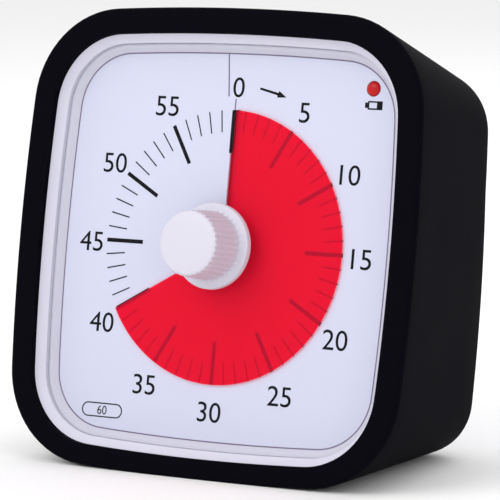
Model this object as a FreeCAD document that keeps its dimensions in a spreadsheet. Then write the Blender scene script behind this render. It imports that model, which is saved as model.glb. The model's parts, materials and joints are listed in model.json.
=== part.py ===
import FreeCAD, Part
import math
import os
import Sketcher

# A sixty minute visual timer: a white case in a soft black sleeve, with a
# red film that winds through a slit in its dial.
#
# Every piece is drawn looking at the dial, before the whole is leant back:
# x to the right, y up the dial, and z towards the viewer from the rim's
# front. A depth is counted the other way, from the rim into the case.

os.makedirs("parts", exist_ok=True)
doc = FreeCAD.newDocument("visual_timer")

DRIVING = {
    # Outline of the sleeve at its front rim, and its depth
    "half_width": 43.4,
    "half_height": 44.9,
    "corner_round": 19.0,
    "side_bow": 460.0,
    "body_depth": 43.0,
    "draft": 9.6,
    "foot_cut": 0.35,
    # Soft sleeve
    "sleeve_wall": 2.2,
    "lip_width": 4.3,
    "lip_thick": 1.6,
    "rim_fillet": 1.9,
    "rim_inner_fillet": 0.7,
    "back_fillet": 4.5,
    "back_lip": 4.4,
    "back_lip_thick": 1.8,
    # Running and seating clearances
    "seat_gap": 0.05,
    "run_gap": 0.3,
    # White case
    "case_wall": 1.8,
    "bezel_inset": 5.9,
    "bezel_depth": 3.0,
    "front_depth": 22.0,
    "floor_depth": 6.9,
    "floor_thick": 1.6,
    "joint_lap": 2.0,
    # Clear window
    "lens_thick": 1.0,
    "lens_hole": 4.4,
    # Dial dish
    "dish_ledge": 0.7,
    "window_inset": 7.5,
    "dial_depth": 5.2,
    "dial_thick": 0.5,
    "dial_hole": 5.6,
    "slit_left": 0.15,
    "slit_right": 1.5,
    "slit_reach": 27.2,
    "lamp_across": 30.0,
    "lamp_up": 31.6,
    "lamp_size": 1.45,
    # Red film
    "film_round": 26.4,
    "film_eye": 4.95,
    "film_thick": 0.2,
    "film_front": 4.6,
    "film_back": 6.2,
    "film_minutes": 40.0,
    # Knob, spindle and hub
    "knob_front": 7.9,
    "knob_tip": 6.35,
    "knob_base": 6.75,
    "knob_edge": 0.7,
    "flute_count": 36.0,
    "flute_size": 0.42,
    "flange_front": 0.5,
    "flange_thick": 1.4,
    "flange_round": 8.3,
    "knob_sleeve": 3.6,
    "knob_bore_depth": 8.0,
    "spindle_size": 2.0,
    "hub_size": 4.6,
    "bush_size": 4.0,
    "bush_flange": 5.4,
    # Movement block and its gears
    "block_left": 26.0,
    "block_right": 17.0,
    "block_low": 14.8,
    "block_high": 25.0,
    "block_wall": 1.2,
    "block_depth": 12.6,
    "cover_thick": 1.4,
    "wheel_module": 0.4,
    "train_module": 0.3,
    "rotor_module": 0.25,
    "centre_teeth": 60.0,
    "third_leaves": 12.0,
    "third_teeth": 36.0,
    "second_leaves": 12.0,
    "second_teeth": 44.0,
    "rotor_leaves": 8.0,
    "wheel_thick": 0.9,
    "centre_level": 17.0,
    "third_level": 14.6,
    "second_level": 12.2,
    "pin_size": 0.45,
    "magnet_size": 2.2,
    "magnet_thick": 2.4,
    "stator_thick": 0.8,
    "coil_across": 20.4,
    "coil_size": 3.6,
    "coil_core": 1.9,
    "coil_length": 14.0,
    "coil_low": 5.0,
    # Screws and the bosses that they join
    "boss_size": 3.1,
    "screw_size": 1.2,
    "head_size": 2.1,
    "head_thick": 1.5,
    "top_boss_across": 24.0,
    "top_boss_up": 29.0,
    "low_boss_across": 20.0,
    "low_boss_down": 30.9,
    # Cell bay, cell and door
    "cell_size": 7.25,
    "cell_length": 49.2,
    "cell_down": 18.0,
    "cell_depth": 32.0,
    "bay_across": 28.2,
    "bay_gap": 0.35,
    "bay_wall": 1.2,
    "door_thick": 1.6,
    "door_ledge": 1.5,
    "door_gap": 0.3,
    "hinge_pin": 0.55,
    "hinge_reach": 0.9,
    "contact_thick": 0.3,
    # Circuit board and what sits on it
    "board_left": 6.0,
    "board_right": 29.0,
    "board_low": -5.0,
    "board_high": 24.5,
    "board_depth": 32.0,
    "board_thick": 1.2,
    "slider_across": 21.0,
    "slider_up": 14.0,
    "slider_long": 4.0,
    "slider_tall": 2.6,
    "slider_proud": 0.9,
    "slider_travel": 1.6,
    "buzzer_left": 13.0,
    "buzzer_up": 12.0,
    "buzzer_size": 9.0,
    "buzzer_thick": 6.0,
}

sheet = doc.addObject("Spreadsheet::Sheet", "Sizes")
for row, (alias, amount) in enumerate(DRIVING.items(), start=1):
    sheet.set(f"A{row}", alias)
    sheet.set(f"B{row}", str(amount))
    sheet.setAlias(f"B{row}", alias)
doc.recompute()


class Size:
    """A length, with the sheet formula that gives it."""

    def __init__(self, value, text):
        self.value = float(value)
        self.text = text

    @staticmethod
    def of(thing):
        return thing if isinstance(thing, Size) else Size(thing, repr(float(thing)))

    def __add__(self, other):
        other = Size.of(other)
        return Size(self.value + other.value, f"({self.text} + {other.text})")

    def __sub__(self, other):
        other = Size.of(other)
        return Size(self.value - other.value, f"({self.text} - {other.text})")

    def __mul__(self, other):
        other = Size.of(other)
        return Size(self.value * other.value, f"({self.text} * {other.text})")

    def __truediv__(self, other):
        other = Size.of(other)
        return Size(self.value / other.value, f"({self.text} / {other.text})")

    def __neg__(self):
        return Size(-self.value, f"(0 - {self.text})")

    def __radd__(self, other):
        return Size.of(other) + self

    def __rsub__(self, other):
        return Size.of(other) - self

    def __rmul__(self, other):
        return Size.of(other) * self


class Driving:
    """Reads a driving dimension of the sheet by its name."""

    def __getattr__(self, alias):
        return Size(DRIVING[alias], f"Sizes.{alias}")


S = Driving()
ORIGIN = Size(0, "0")
SLOPE = Size(math.tan(math.radians(DRIVING["draft"])), "tan(Sizes.draft)")

# Insets from the sleeve's outline, all parallel to it
CASE_SKIN = S.sleeve_wall + S.seat_gap
CASE_BACK = S.body_depth - S.back_lip_thick - S.seat_gap
LENS_INSET = S.bezel_inset + S.seat_gap
DISH_FRONT = S.bezel_depth + S.lens_thick + S.seat_gap
FLOOR_BACK = S.floor_depth + S.floor_thick
DIAL_BACK = S.dial_depth + S.dial_thick


def inset_at(depth, wall):
    """Inset of the drafted surface that lies one wall inside the sleeve."""
    return wall + depth * SLOPE


def plane_of(body, role):
    return next(plane for plane in body.Origin.OriginFeatures if plane.Role == role)


def new_body(name):
    body = doc.addObject("PartDesign::Body", name)
    body.Label = name
    return body


def new_sketch(body, depth=ORIGIN, role="XY_Plane"):
    """A sketch across the case at a depth, or on another origin plane."""
    sketch = body.newObject("Sketcher::SketchObject", f"{body.Name}_sketch")
    sketch.AttachmentSupport = [(plane_of(body, role), "")]
    sketch.MapMode = "FlatFace"
    if role == "XY_Plane":
        sketch.setExpression("AttachmentOffset.Base.z", (-Size.of(depth)).text)
    return sketch


def hold(sketch, kind, *place, size):
    """Adds one dimension to a sketch and ties it to the sheet."""
    size = Size.of(size)
    number = sketch.addConstraint(Sketcher.Constraint(kind, *place, size.value))
    if "Sizes." in size.text:
        sketch.setExpression(f"Constraints[{number}]", size.text)


def add_circle(sketch, across, up, radius):
    across, up, radius = Size.of(across), Size.of(up), Size.of(radius)
    centre = FreeCAD.Vector(across.value, up.value, 0)
    shape = Part.Circle(centre, FreeCAD.Vector(0, 0, 1), radius.value)
    number = sketch.addGeometry(shape)
    hold(sketch, "DistanceX", -1, 1, number, 3, size=across)
    hold(sketch, "DistanceY", -1, 1, number, 3, size=up)
    hold(sketch, "Radius", number, size=radius)


def add_polygon(sketch, corners):
    """A closed run of straight lines through corners that are sizes."""
    corners = [(Size.of(across), Size.of(up)) for across, up in corners]
    points = [FreeCAD.Vector(across.value, up.value, 0) for across, up in corners]
    lines = []
    for start, end in zip(points, points[1:] + points[:1]):
        lines.append(sketch.addGeometry(Part.LineSegment(start, end)))
    for number, following in zip(lines, lines[1:] + lines[:1]):
        sketch.addConstraint(Sketcher.Constraint("Coincident", number, 2, following, 1))
    for number, (across, up) in zip(lines, corners):
        hold(sketch, "DistanceX", -1, 1, number, 1, size=across)
        hold(sketch, "DistanceY", -1, 1, number, 1, size=up)


def add_box(sketch, left, low, right, high):
    add_polygon(sketch, [(left, low), (right, low), (right, high), (left, high)])


def corner_centre():
    """Centre of the upper right corner arc, tangent to the bowed sides."""
    reach = DRIVING["side_bow"] - DRIVING["corner_round"]
    side = DRIVING["half_width"] - DRIVING["side_bow"]
    top = DRIVING["half_height"] - DRIVING["side_bow"]
    span = math.hypot(side, top)
    along = math.sqrt(reach ** 2 - (span / 2) ** 2)
    return side / 2 - along * top / span, top / 2 - along * side / span


def add_outline(sketch, inset):
    """The case's outline: four bowed sides and four round corners, inset."""
    inset = Size.of(inset)
    corner_x, corner_y = corner_centre()
    bow = S.side_bow - inset
    round_ = S.corner_round - inset
    side_x = DRIVING["half_width"] - DRIVING["side_bow"]
    side_y = DRIVING["half_height"] - DRIVING["side_bow"]
    turn = math.atan2(corner_y, corner_x - side_x)
    lift = math.atan2(corner_x, corner_y - side_y)
    quarter = math.pi / 2
    upright = FreeCAD.Vector(0, 0, 1)
    arcs = []

    def add_arc(centre_x, centre_y, radius, start, end):
        centre = FreeCAD.Vector(centre_x, centre_y, 0)
        circle = Part.Circle(centre, upright, radius.value)
        arcs.append(sketch.addGeometry(Part.ArcOfCircle(circle, start, end)))

    for step in range(4):
        begin = step * quarter
        upright_side = step % 2 == 0
        swing = turn if upright_side else lift
        next_swing = lift if upright_side else turn
        reach = side_x if upright_side else side_y
        sign = 1 if step < 2 else -1
        place = (sign * reach, 0) if upright_side else (0, sign * reach)
        add_arc(*place, bow, begin - swing, begin + swing)
        sign_x = 1 if step in (0, 3) else -1
        sign_y = 1 if step in (0, 1) else -1
        add_arc(sign_x * corner_x, sign_y * corner_y, round_,
                begin + swing, begin + quarter - next_swing)

    for number, following in zip(arcs, arcs[1:] + arcs[:1]):
        sketch.addConstraint(Sketcher.Constraint("Tangent", number, 2, following, 1))
    for step, number in enumerate(arcs[0::2]):
        axis, other = ("DistanceX", -1) if step % 2 == 0 else ("DistanceY", -2)
        half = S.half_width if step % 2 == 0 else S.half_height
        sign = 1 if step < 2 else -1
        sketch.addConstraint(Sketcher.Constraint("PointOnObject", number, 3, other))
        hold(sketch, axis, -1, 1, number, 3, size=(half - S.side_bow) * sign)
        hold(sketch, "Radius", number, size=bow)
    for number in arcs[1::2]:
        hold(sketch, "Radius", number, size=round_)


def add_feature(body, kind, sketch, length, taper=None, forward=False, both=False):
    """A pad or pocket of a sketch, into the case unless it goes forward."""
    feature = body.newObject(f"PartDesign::{kind}", f"{body.Name}_{kind.lower()}")
    feature.Profile = sketch
    into = forward if kind == "Pocket" else not forward
    feature.Reversed = into
    if both:
        feature.Midplane = True
    feature.setExpression("Length", Size.of(length).text)
    if taper is not None:
        feature.setExpression("TaperAngle", taper)
    sketch.Visibility = False
    doc.recompute()
    return feature


def pad(body, sketch, length, **options):
    return add_feature(body, "Pad", sketch, length, **options)


def pocket(body, sketch, length, **options):
    before = body.Tip.Shape.Volume
    feature = add_feature(body, "Pocket", sketch, length, **options)
    if not feature.Shape.Volume < before:
        raise RuntimeError(f"a pocket cuts nothing from {body.Name}")
    return feature


def slope_of(width, depth):
    """Taper that widens by a width over a depth."""
    return f"atan(({Size.of(width).text}) / ({Size.of(depth).text}))"


def outline_pad(body, inset, depth, length, taper=None):
    sketch = new_sketch(body, depth)
    add_outline(sketch, inset)
    return pad(body, sketch, length, taper=taper)


def outline_pocket(body, inset, depth, length, taper=None, forward=False):
    sketch = new_sketch(body, depth)
    add_outline(sketch, inset)
    return pocket(body, sketch, length, taper=taper, forward=forward)


def circle_pad(body, depth, length, *circles, **options):
    sketch = new_sketch(body, depth)
    for circle in circles:
        add_circle(sketch, *circle)
    return pad(body, sketch, length, **options)


def circle_pocket(body, depth, length, *circles, **options):
    sketch = new_sketch(body, depth)
    for circle in circles:
        add_circle(sketch, *circle)
    return pocket(body, sketch, length, **options)


def box_pad(body, depth, length, *boxes, **options):
    sketch = new_sketch(body, depth)
    for box in boxes:
        add_box(sketch, *box)
    return pad(body, sketch, length, **options)


def box_pocket(body, depth, length, *boxes, **options):
    sketch = new_sketch(body, depth)
    for box in boxes:
        add_box(sketch, *box)
    return pocket(body, sketch, length, **options)


def edges_at(shape, depth, test):
    """Names of the edges that lie wholly at one depth and pass a test."""
    names = []
    for number, edge in enumerate(shape.Edges, start=1):
        box = edge.BoundBox
        near = abs(box.ZMin + depth) < FINE and abs(box.ZMax + depth) < FINE
        if near and test(edge):
            names.append(f"Edge{number}")
    return names


def round_edges(body, names, radius):
    base = body.Tip
    feature = body.newObject("PartDesign::Fillet", f"{body.Name}_fillet")
    feature.Base = (base, names)
    feature.setExpression("Radius", Size.of(radius).text)
    doc.recompute()
    return feature


def solid_piece(name, shape):
    piece = doc.addObject("Part::Feature", name)
    piece.Label = name
    piece.Shape = shape
    return piece


FINE = 0.01
INWARD = "0 - Sizes.draft"
BOSSES = [
    (-S.top_boss_across, S.top_boss_up),
    (S.top_boss_across, S.top_boss_up),
    (-S.low_boss_across, -S.low_boss_down),
    (S.low_boss_across, -S.low_boss_down),
]


def make_sleeve():
    """Soft sleeve: drafted skin, front lip, open back and a flat foot."""
    body = new_body("silicone_sleeve")
    outer = outline_pad(body, ORIGIN, ORIGIN, S.body_depth, INWARD)
    front = edges_at(outer.Shape, 0, lambda edge: True)
    round_edges(body, front, S.rim_fillet)
    back = edges_at(body.Tip.Shape, DRIVING["body_depth"], lambda edge: True)
    round_edges(body, back, S.back_fillet)
    depth = S.body_depth - S.lip_thick - S.back_lip_thick
    outline_pocket(body, inset_at(S.lip_thick, S.sleeve_wall), S.lip_thick, depth, INWARD)
    outline_pocket(body, S.lip_width, ORIGIN, S.lip_thick)
    back_depth = S.body_depth - S.back_lip_thick
    opening = inset_at(back_depth, S.back_lip)
    outline_pocket(body, opening, back_depth, S.back_lip_thick)
    foot = new_sketch(body, role="YZ_Plane")
    low = S.foot_cut - S.half_height
    clear = S.half_height * 2
    add_polygon(foot, [
        (low, ORIGIN),
        (low + S.body_depth * SLOPE, -S.body_depth),
        (-clear, -S.body_depth),
        (-clear, ORIGIN),
    ])
    pocket(body, foot, S.half_width * 2, both=True)
    return body


def make_front_case():
    """White front shell: sloped bezel, dial floor, boss posts and lap."""
    body = new_body("front_case")
    top = S.lip_thick + S.seat_gap
    outline_pad(body, inset_at(top, CASE_SKIN), top, S.front_depth - top, INWARD)
    slope_depth = S.bezel_depth - top
    slope = slope_of(S.lip_width - S.bezel_inset, slope_depth)
    outline_pocket(body, S.lip_width, top, slope_depth, slope)
    outline_pocket(body, S.bezel_inset, S.bezel_depth, S.floor_depth - S.bezel_depth)
    inner = CASE_SKIN + S.case_wall
    outline_pocket(body, inset_at(FLOOR_BACK, inner), FLOOR_BACK,
                   S.front_depth - FLOOR_BACK, INWARD)
    circle_pocket(body, S.floor_depth, S.floor_thick, (0, 0, S.bush_size + S.seat_gap))
    circle_pocket(body, S.floor_depth, S.floor_thick,
                  (S.lamp_across, S.lamp_up, S.lamp_size + S.run_gap))
    circle_pad(body, FLOOR_BACK, S.front_depth - FLOOR_BACK,
               *[(across, up, S.boss_size) for across, up in BOSSES])
    ribs = []
    half_rib = S.case_wall / 2
    for across, up in BOSSES:
        end = RIB_END if up.value > 0 else -RIB_END
        low, high = sorted([up, end], key=lambda size: size.value)
        ribs.append((across - half_rib, low, across + half_rib, high))
    box_pad(body, FLOOR_BACK, RIB_DEPTH, *ribs)
    circle_pocket(body, S.front_depth, S.front_depth - FLOOR_BACK,
                  *[(across, up, S.screw_size) for across, up in BOSSES], forward=True)
    return body


RIB_DEPTH = Size.of(4.0)
RIB_END = (S.half_height - inset_at(FLOOR_BACK + RIB_DEPTH, CASE_SKIN + S.case_wall)
           + S.case_wall / 4)


def make_rear_case():
    """White back shell: lap, cell bay, screw posts, slots and its own ribs."""
    body = new_body("rear_case")
    start = S.front_depth + S.seat_gap
    outline_pad(body, inset_at(start, CASE_SKIN), start, CASE_BACK - start, INWARD)
    inner = CASE_SKIN + S.case_wall
    outline_pocket(body, inset_at(start, inner), start,
                   CASE_BACK - S.case_wall - start, INWARD)
    lap_top = start - S.joint_lap
    lap_inset = inset_at(start, inner + S.run_gap)
    lap = new_sketch(body, lap_top)
    add_outline(lap, lap_inset)
    add_outline(lap, lap_inset + S.bay_wall)
    pad(body, lap, S.joint_lap + S.case_wall * 2)
    bay_low = -S.cell_down - S.cell_size - S.bay_gap
    bay_high = -S.cell_down + S.cell_size + S.bay_gap
    bay_top = S.cell_depth - S.cell_size - S.bay_gap
    wall = S.bay_wall
    rim = wall + S.door_ledge
    box_pad(body, bay_top - wall, CASE_BACK - bay_top + wall,
            (-S.bay_across - rim, bay_low - rim, S.bay_across + rim, bay_high + rim))
    box_pocket(body, bay_top, CASE_BACK - bay_top,
               (-S.bay_across, bay_low, S.bay_across, bay_high))
    box_pocket(body, CASE_BACK - DOOR_SEAT, DOOR_SEAT,
               (-DOOR_HALF - S.door_gap, DOOR_LOW - S.door_gap,
                DOOR_HALF + S.door_gap, DOOR_HIGH + S.door_gap))
    circle_pad(body, start, CASE_BACK - start,
               *[(across, up, S.boss_size) for across, up in BOSSES])
    post_top = BOARD_BACK + S.seat_gap
    circle_pad(body, post_top, CASE_BACK - post_top,
               *[(across, up, BOARD_POST) for across, up in board_posts()])
    circle_pocket(body, start, CASE_BACK - start,
                  *[(across, up, S.screw_size + S.run_gap) for across, up in BOSSES])
    circle_pocket(body, CASE_BACK - SCREW_SINK, SCREW_SINK,
                  *[(across, up, S.head_size + S.run_gap) for across, up in BOSSES])
    slot_long = S.slider_long / 2 + S.slider_travel + S.run_gap
    slot_tall = S.slider_tall / 2 + S.run_gap
    box_pocket(body, CASE_BACK - S.case_wall, S.case_wall,
               (S.slider_across - slot_long, S.slider_up - slot_tall,
                S.slider_across + slot_long, S.slider_up + slot_tall))
    slots = []
    for step in range(SOUND_SLOTS):
        up = S.buzzer_up + (step - (SOUND_SLOTS - 1) / 2) * SLOT_PITCH
        reach = S.buzzer_size * SLOT_SHARE[step]
        slots.append((-S.buzzer_left - reach, up - SLOT_HALF,
                      -S.buzzer_left + reach, up + SLOT_HALF))
    box_pocket(body, CASE_BACK - S.case_wall, S.case_wall, *slots)
    hinge = new_sketch(body, role="YZ_Plane")
    add_circle(hinge, HINGE_UP, -HINGE_DEPTH, S.hinge_pin + PIN_GAP)
    pin_half = DOOR_HALF + S.hinge_reach + PIN_GAP
    pocket(body, hinge, pin_half * 2, both=True)
    return body


SOUND_SLOTS = 5
SLOT_PITCH = Size.of(2.6)
SLOT_HALF = Size.of(0.6)
SLOT_SHARE = [0.45, 0.7, 0.8, 0.7, 0.45]
SCREW_SINK = Size.of(12.0)
PIN_GAP = Size.of(0.15)
BOARD_POST = Size.of(1.6)
BOARD_BACK = S.board_depth + S.board_thick
DOOR_SEAT = S.door_thick + S.seat_gap * 2
DOOR_HALF = S.bay_across - S.door_ledge + S.bay_wall * 2
DOOR_LOW = -S.cell_down - S.cell_size - S.bay_gap - S.door_ledge
DOOR_HIGH = -S.cell_down + S.cell_size + S.bay_gap + S.door_ledge
HINGE_UP = DOOR_LOW + S.door_thick / 2
HINGE_DEPTH = CASE_BACK - S.door_thick / 2


def board_posts():
    """Two posts of the back wall that the circuit board stands on."""
    inset = BOARD_POST * 2
    return [(S.board_left + inset, S.board_high - inset),
            (S.board_right - inset, S.board_low + inset)]


def make_lens():
    body = new_body("clear_lens")
    outline_pad(body, LENS_INSET, S.bezel_depth, S.lens_thick)
    circle_pocket(body, S.bezel_depth, S.lens_thick, (0, 0, S.lens_hole))
    return body


def make_dial():
    """Dial dish: sloped rim under the window, slit for the film, lamp hole."""
    body = new_body("dial_plate")
    outline_pad(body, LENS_INSET, DISH_FRONT, S.floor_depth - S.seat_gap - DISH_FRONT)
    ledge = S.bezel_inset + S.dish_ledge
    slope_depth = S.dial_depth - DISH_FRONT
    outline_pocket(body, ledge, DISH_FRONT, slope_depth,
                   slope_of(ledge - S.window_inset, slope_depth))
    outline_pocket(body, S.window_inset, DIAL_BACK,
                   S.floor_depth - DIAL_BACK)
    circle_pocket(body, S.dial_depth, S.dial_thick, (0, 0, S.dial_hole))
    circle_pocket(body, S.dial_depth, S.dial_thick,
                  (S.lamp_across, S.lamp_up, S.lamp_size + S.seat_gap))
    box_pocket(body, S.dial_depth, S.dial_thick,
               (-S.slit_left, ORIGIN, S.slit_right, S.slit_reach))
    return body


def sector(radius, start, end, depth, thick):
    """A flat wedge of a disc between two clockwise angles from the top."""
    turn = end - start
    disc = Part.makeCylinder(radius, thick, FreeCAD.Vector(0, 0, -depth - thick),
                             FreeCAD.Vector(0, 0, 1), turn)
    disc.rotate(FreeCAD.Vector(0, 0, 0), FreeCAD.Vector(0, 0, 1), 90 - end)
    return disc


def make_film():
    """Red film at rest: over the dial to its leading edge, the rest below."""
    shown = DRIVING["film_minutes"] * 360 / 60
    rim = DRIVING["film_round"]
    thick = DRIVING["film_thick"]
    over = DRIVING["film_front"]
    under = DRIVING["film_back"]
    eye = Part.makeCylinder(DRIVING["film_eye"], under + thick, FreeCAD.Vector(0, 0, -under - thick))
    right = DRIVING["slit_right"] + 2 * DRIVING["run_gap"]
    left = DRIVING["slit_left"] + 2 * DRIVING["run_gap"]
    edge_gap = math.degrees(DRIVING["run_gap"] / rim)
    above = sector(rim, 0, shown, over, thick)
    above = above.cut(Part.makeBox(rim + right, rim, under, FreeCAD.Vector(-rim, 0, -under)))
    below = sector(rim, shown + edge_gap, 360, under, thick)
    below = below.cut(Part.makeBox(left, rim, under + thick, FreeCAD.Vector(-left, 0, -under - thick)))
    ramp_high = math.sqrt(rim ** 2 - right ** 2)
    profile = Part.makePolygon([
        FreeCAD.Vector(right, 0, -over),
        FreeCAD.Vector(right, 0, -over - thick),
        FreeCAD.Vector(-left, 0, -under - thick),
        FreeCAD.Vector(-left, 0, -under),
        FreeCAD.Vector(right, 0, -over),
    ])
    ramp = Part.Face(profile).extrude(FreeCAD.Vector(0, ramp_high, 0))
    quarter_over = Part.makeBox(rim, rim, thick, FreeCAD.Vector(right, 0, -over - thick))
    first = sector(rim, 0, 90, over, thick).common(quarter_over)
    later = sector(rim, 90, shown, over, thick)
    film = first.fuse([later, ramp, below]).cut(eye).removeSplitter()
    return solid_piece("time_film", film)


def make_hub():
    """Boss that the film winds round, clamped between knob and floor."""
    body = new_body("film_hub")
    start = S.bezel_depth + S.lens_thick + S.run_gap
    end = S.floor_depth - S.run_gap / 2
    circle_pad(body, start, end - start, (0, 0, S.hub_size), (0, 0, S.spindle_size + S.seat_gap))
    return body


def make_spindle():
    """Stepped shaft from the knob to the pivot in the rear cover."""
    body = new_body("spindle")
    sketch = new_sketch(body, role="XZ_Plane")
    top = S.knob_bore_depth - S.flange_front - S.flange_thick - SLEEVE_REACH - S.seat_gap
    foot = S.centre_level + S.wheel_thick + COLLAR
    tail = BLOCK_BACK - S.run_gap
    add_polygon(sketch, [
        (ORIGIN, top),
        (S.spindle_size, top),
        (S.spindle_size, -foot),
        (S.pin_size * 2, -foot),
        (S.pin_size * 2, -tail - S.cover_thick / 2),
        (ORIGIN, -tail - S.cover_thick / 2),
    ])
    turn = body.newObject("PartDesign::Revolution", "spindle_turn")
    turn.Profile = sketch
    turn.ReferenceAxis = (sketch, ["V_Axis"])
    turn.Angle = 360
    doc.recompute()
    return body


SLEEVE_REACH = S.bezel_depth + S.lens_thick + S.run_gap - S.seat_gap - S.flange_front - S.flange_thick
COLLAR = Size.of(2.0)
BLOCK_FRONT = FLOOR_BACK + S.seat_gap
BLOCK_BACK = BLOCK_FRONT + S.block_depth


def make_knob():
    """Turned knob with a round flange, a sleeve to the hub and fine flutes."""
    body = new_body("setting_knob")
    sketch = new_sketch(body, role="XZ_Plane")
    front = S.knob_front
    foot = -S.flange_front
    flange_back = foot - S.flange_thick
    sleeve_end = flange_back - SLEEVE_REACH
    bore = S.spindle_size + S.seat_gap
    bore_end = sleeve_end + S.knob_bore_depth
    add_polygon(sketch, [
        (ORIGIN, front + CROWN),
        (S.knob_tip / 2, front + CROWN * 0.8),
        (S.knob_tip - S.knob_edge, front),
        (S.knob_tip, front - S.knob_edge),
        (S.knob_base, foot),
        (S.flange_round - FLANGE_EDGE, foot),
        (S.flange_round, foot - FLANGE_EDGE),
        (S.flange_round, flange_back),
        (S.knob_sleeve, flange_back),
        (S.knob_sleeve, sleeve_end),
        (bore, sleeve_end),
        (bore, bore_end),
        (ORIGIN, bore_end),
    ])
    turn = body.newObject("PartDesign::Revolution", "knob_turn")
    turn.Profile = sketch
    turn.ReferenceAxis = (sketch, ["V_Axis"])
    turn.Angle = 360
    doc.recompute()
    flute = new_sketch(body, -(front + CROWN))
    add_circle(flute, ORIGIN, S.knob_base + S.flute_size * 0.15, S.flute_size)
    cut = pocket(body, flute, front + CROWN - foot)
    pattern = body.newObject("PartDesign::PolarPattern", "knob_flutes")
    pattern.Originals = [cut]
    pattern.Axis = (flute, ["N_Axis"])
    pattern.Angle = 360
    pattern.setExpression("Occurrences", "Sizes.flute_count")
    body.Tip = pattern
    doc.recompute()
    return body


CROWN = Size.of(0.35)
FLANGE_EDGE = Size.of(0.35)


def make_bush():
    """Flanged bush in the floor that the spindle turns in."""
    body = new_body("spindle_bush")
    bore = S.spindle_size + S.seat_gap
    circle_pad(body, S.floor_depth, S.floor_thick + S.block_wall, (0, 0, S.bush_size), (0, 0, bore))
    circle_pad(body, FLOOR_BACK + S.seat_gap / 2, S.block_wall, (0, 0, S.bush_flange), (0, 0, bore))
    return body


def tooth_ring(teeth, module, bore, depth, thick, turned, hubs=()):
    """A gear whose teeth have straight flanks and rounded room to run."""
    pitch = teeth * module / 2
    tip = pitch + ADDENDUM * module
    root = pitch - DEDENDUM * module
    step = 2 * math.pi / teeth
    shares = [(root, -ROOT_SHARE), (pitch, -PITCH_SHARE), (tip, -TIP_SHARE),
              (tip, TIP_SHARE), (pitch, PITCH_SHARE), (root, ROOT_SHARE)]
    points = []
    for tooth in range(int(teeth)):
        for radius, share in shares:
            angle = turned + (tooth + share) * step
            points.append(FreeCAD.Vector(radius * math.cos(angle), radius * math.sin(angle), -depth - thick))
    face = Part.Face(Part.makePolygon(points + points[:1]))
    solid = face.extrude(FreeCAD.Vector(0, 0, thick))
    for radius, start, end in hubs:
        solid = solid.fuse(Part.makeCylinder(radius, end - start, FreeCAD.Vector(0, 0, -end)))
    if bore:
        solid = solid.cut(Part.makeCylinder(bore, 200, FreeCAD.Vector(0, 0, -150)))
    return solid


ADDENDUM = 0.85
DEDENDUM = 1.15
ROOT_SHARE = 0.27
PITCH_SHARE = 0.19
TIP_SHARE = 0.08


def train_places():
    """Axis of each arbor of the gear train, and the turn that meshes it."""
    wheel = DRIVING["wheel_module"] * (DRIVING["centre_teeth"] + DRIVING["third_leaves"]) / 2
    third = DRIVING["train_module"] * (DRIVING["third_teeth"] + DRIVING["second_leaves"]) / 2
    second = DRIVING["rotor_module"] * (DRIVING["second_teeth"] + DRIVING["rotor_leaves"]) / 2
    places = [(0.0, 0.0)]
    for reach, angle in ((wheel, THIRD_ANGLE), (third, SECOND_ANGLE), (second, ROTOR_ANGLE)):
        across, up = places[-1]
        turn = math.radians(angle)
        places.append((across + reach * math.cos(turn), up + reach * math.sin(turn)))
    return places


THIRD_ANGLE = 60.0
SECOND_ANGLE = 150.0
ROTOR_ANGLE = 180.0


def facing(angle):
    """Turn that puts a tooth on a line at this angle."""
    return math.radians(angle)


def gap_facing(angle, teeth):
    """Turn that puts the gap between two teeth on a line at this angle."""
    return math.radians(angle) + math.pi / teeth


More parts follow.
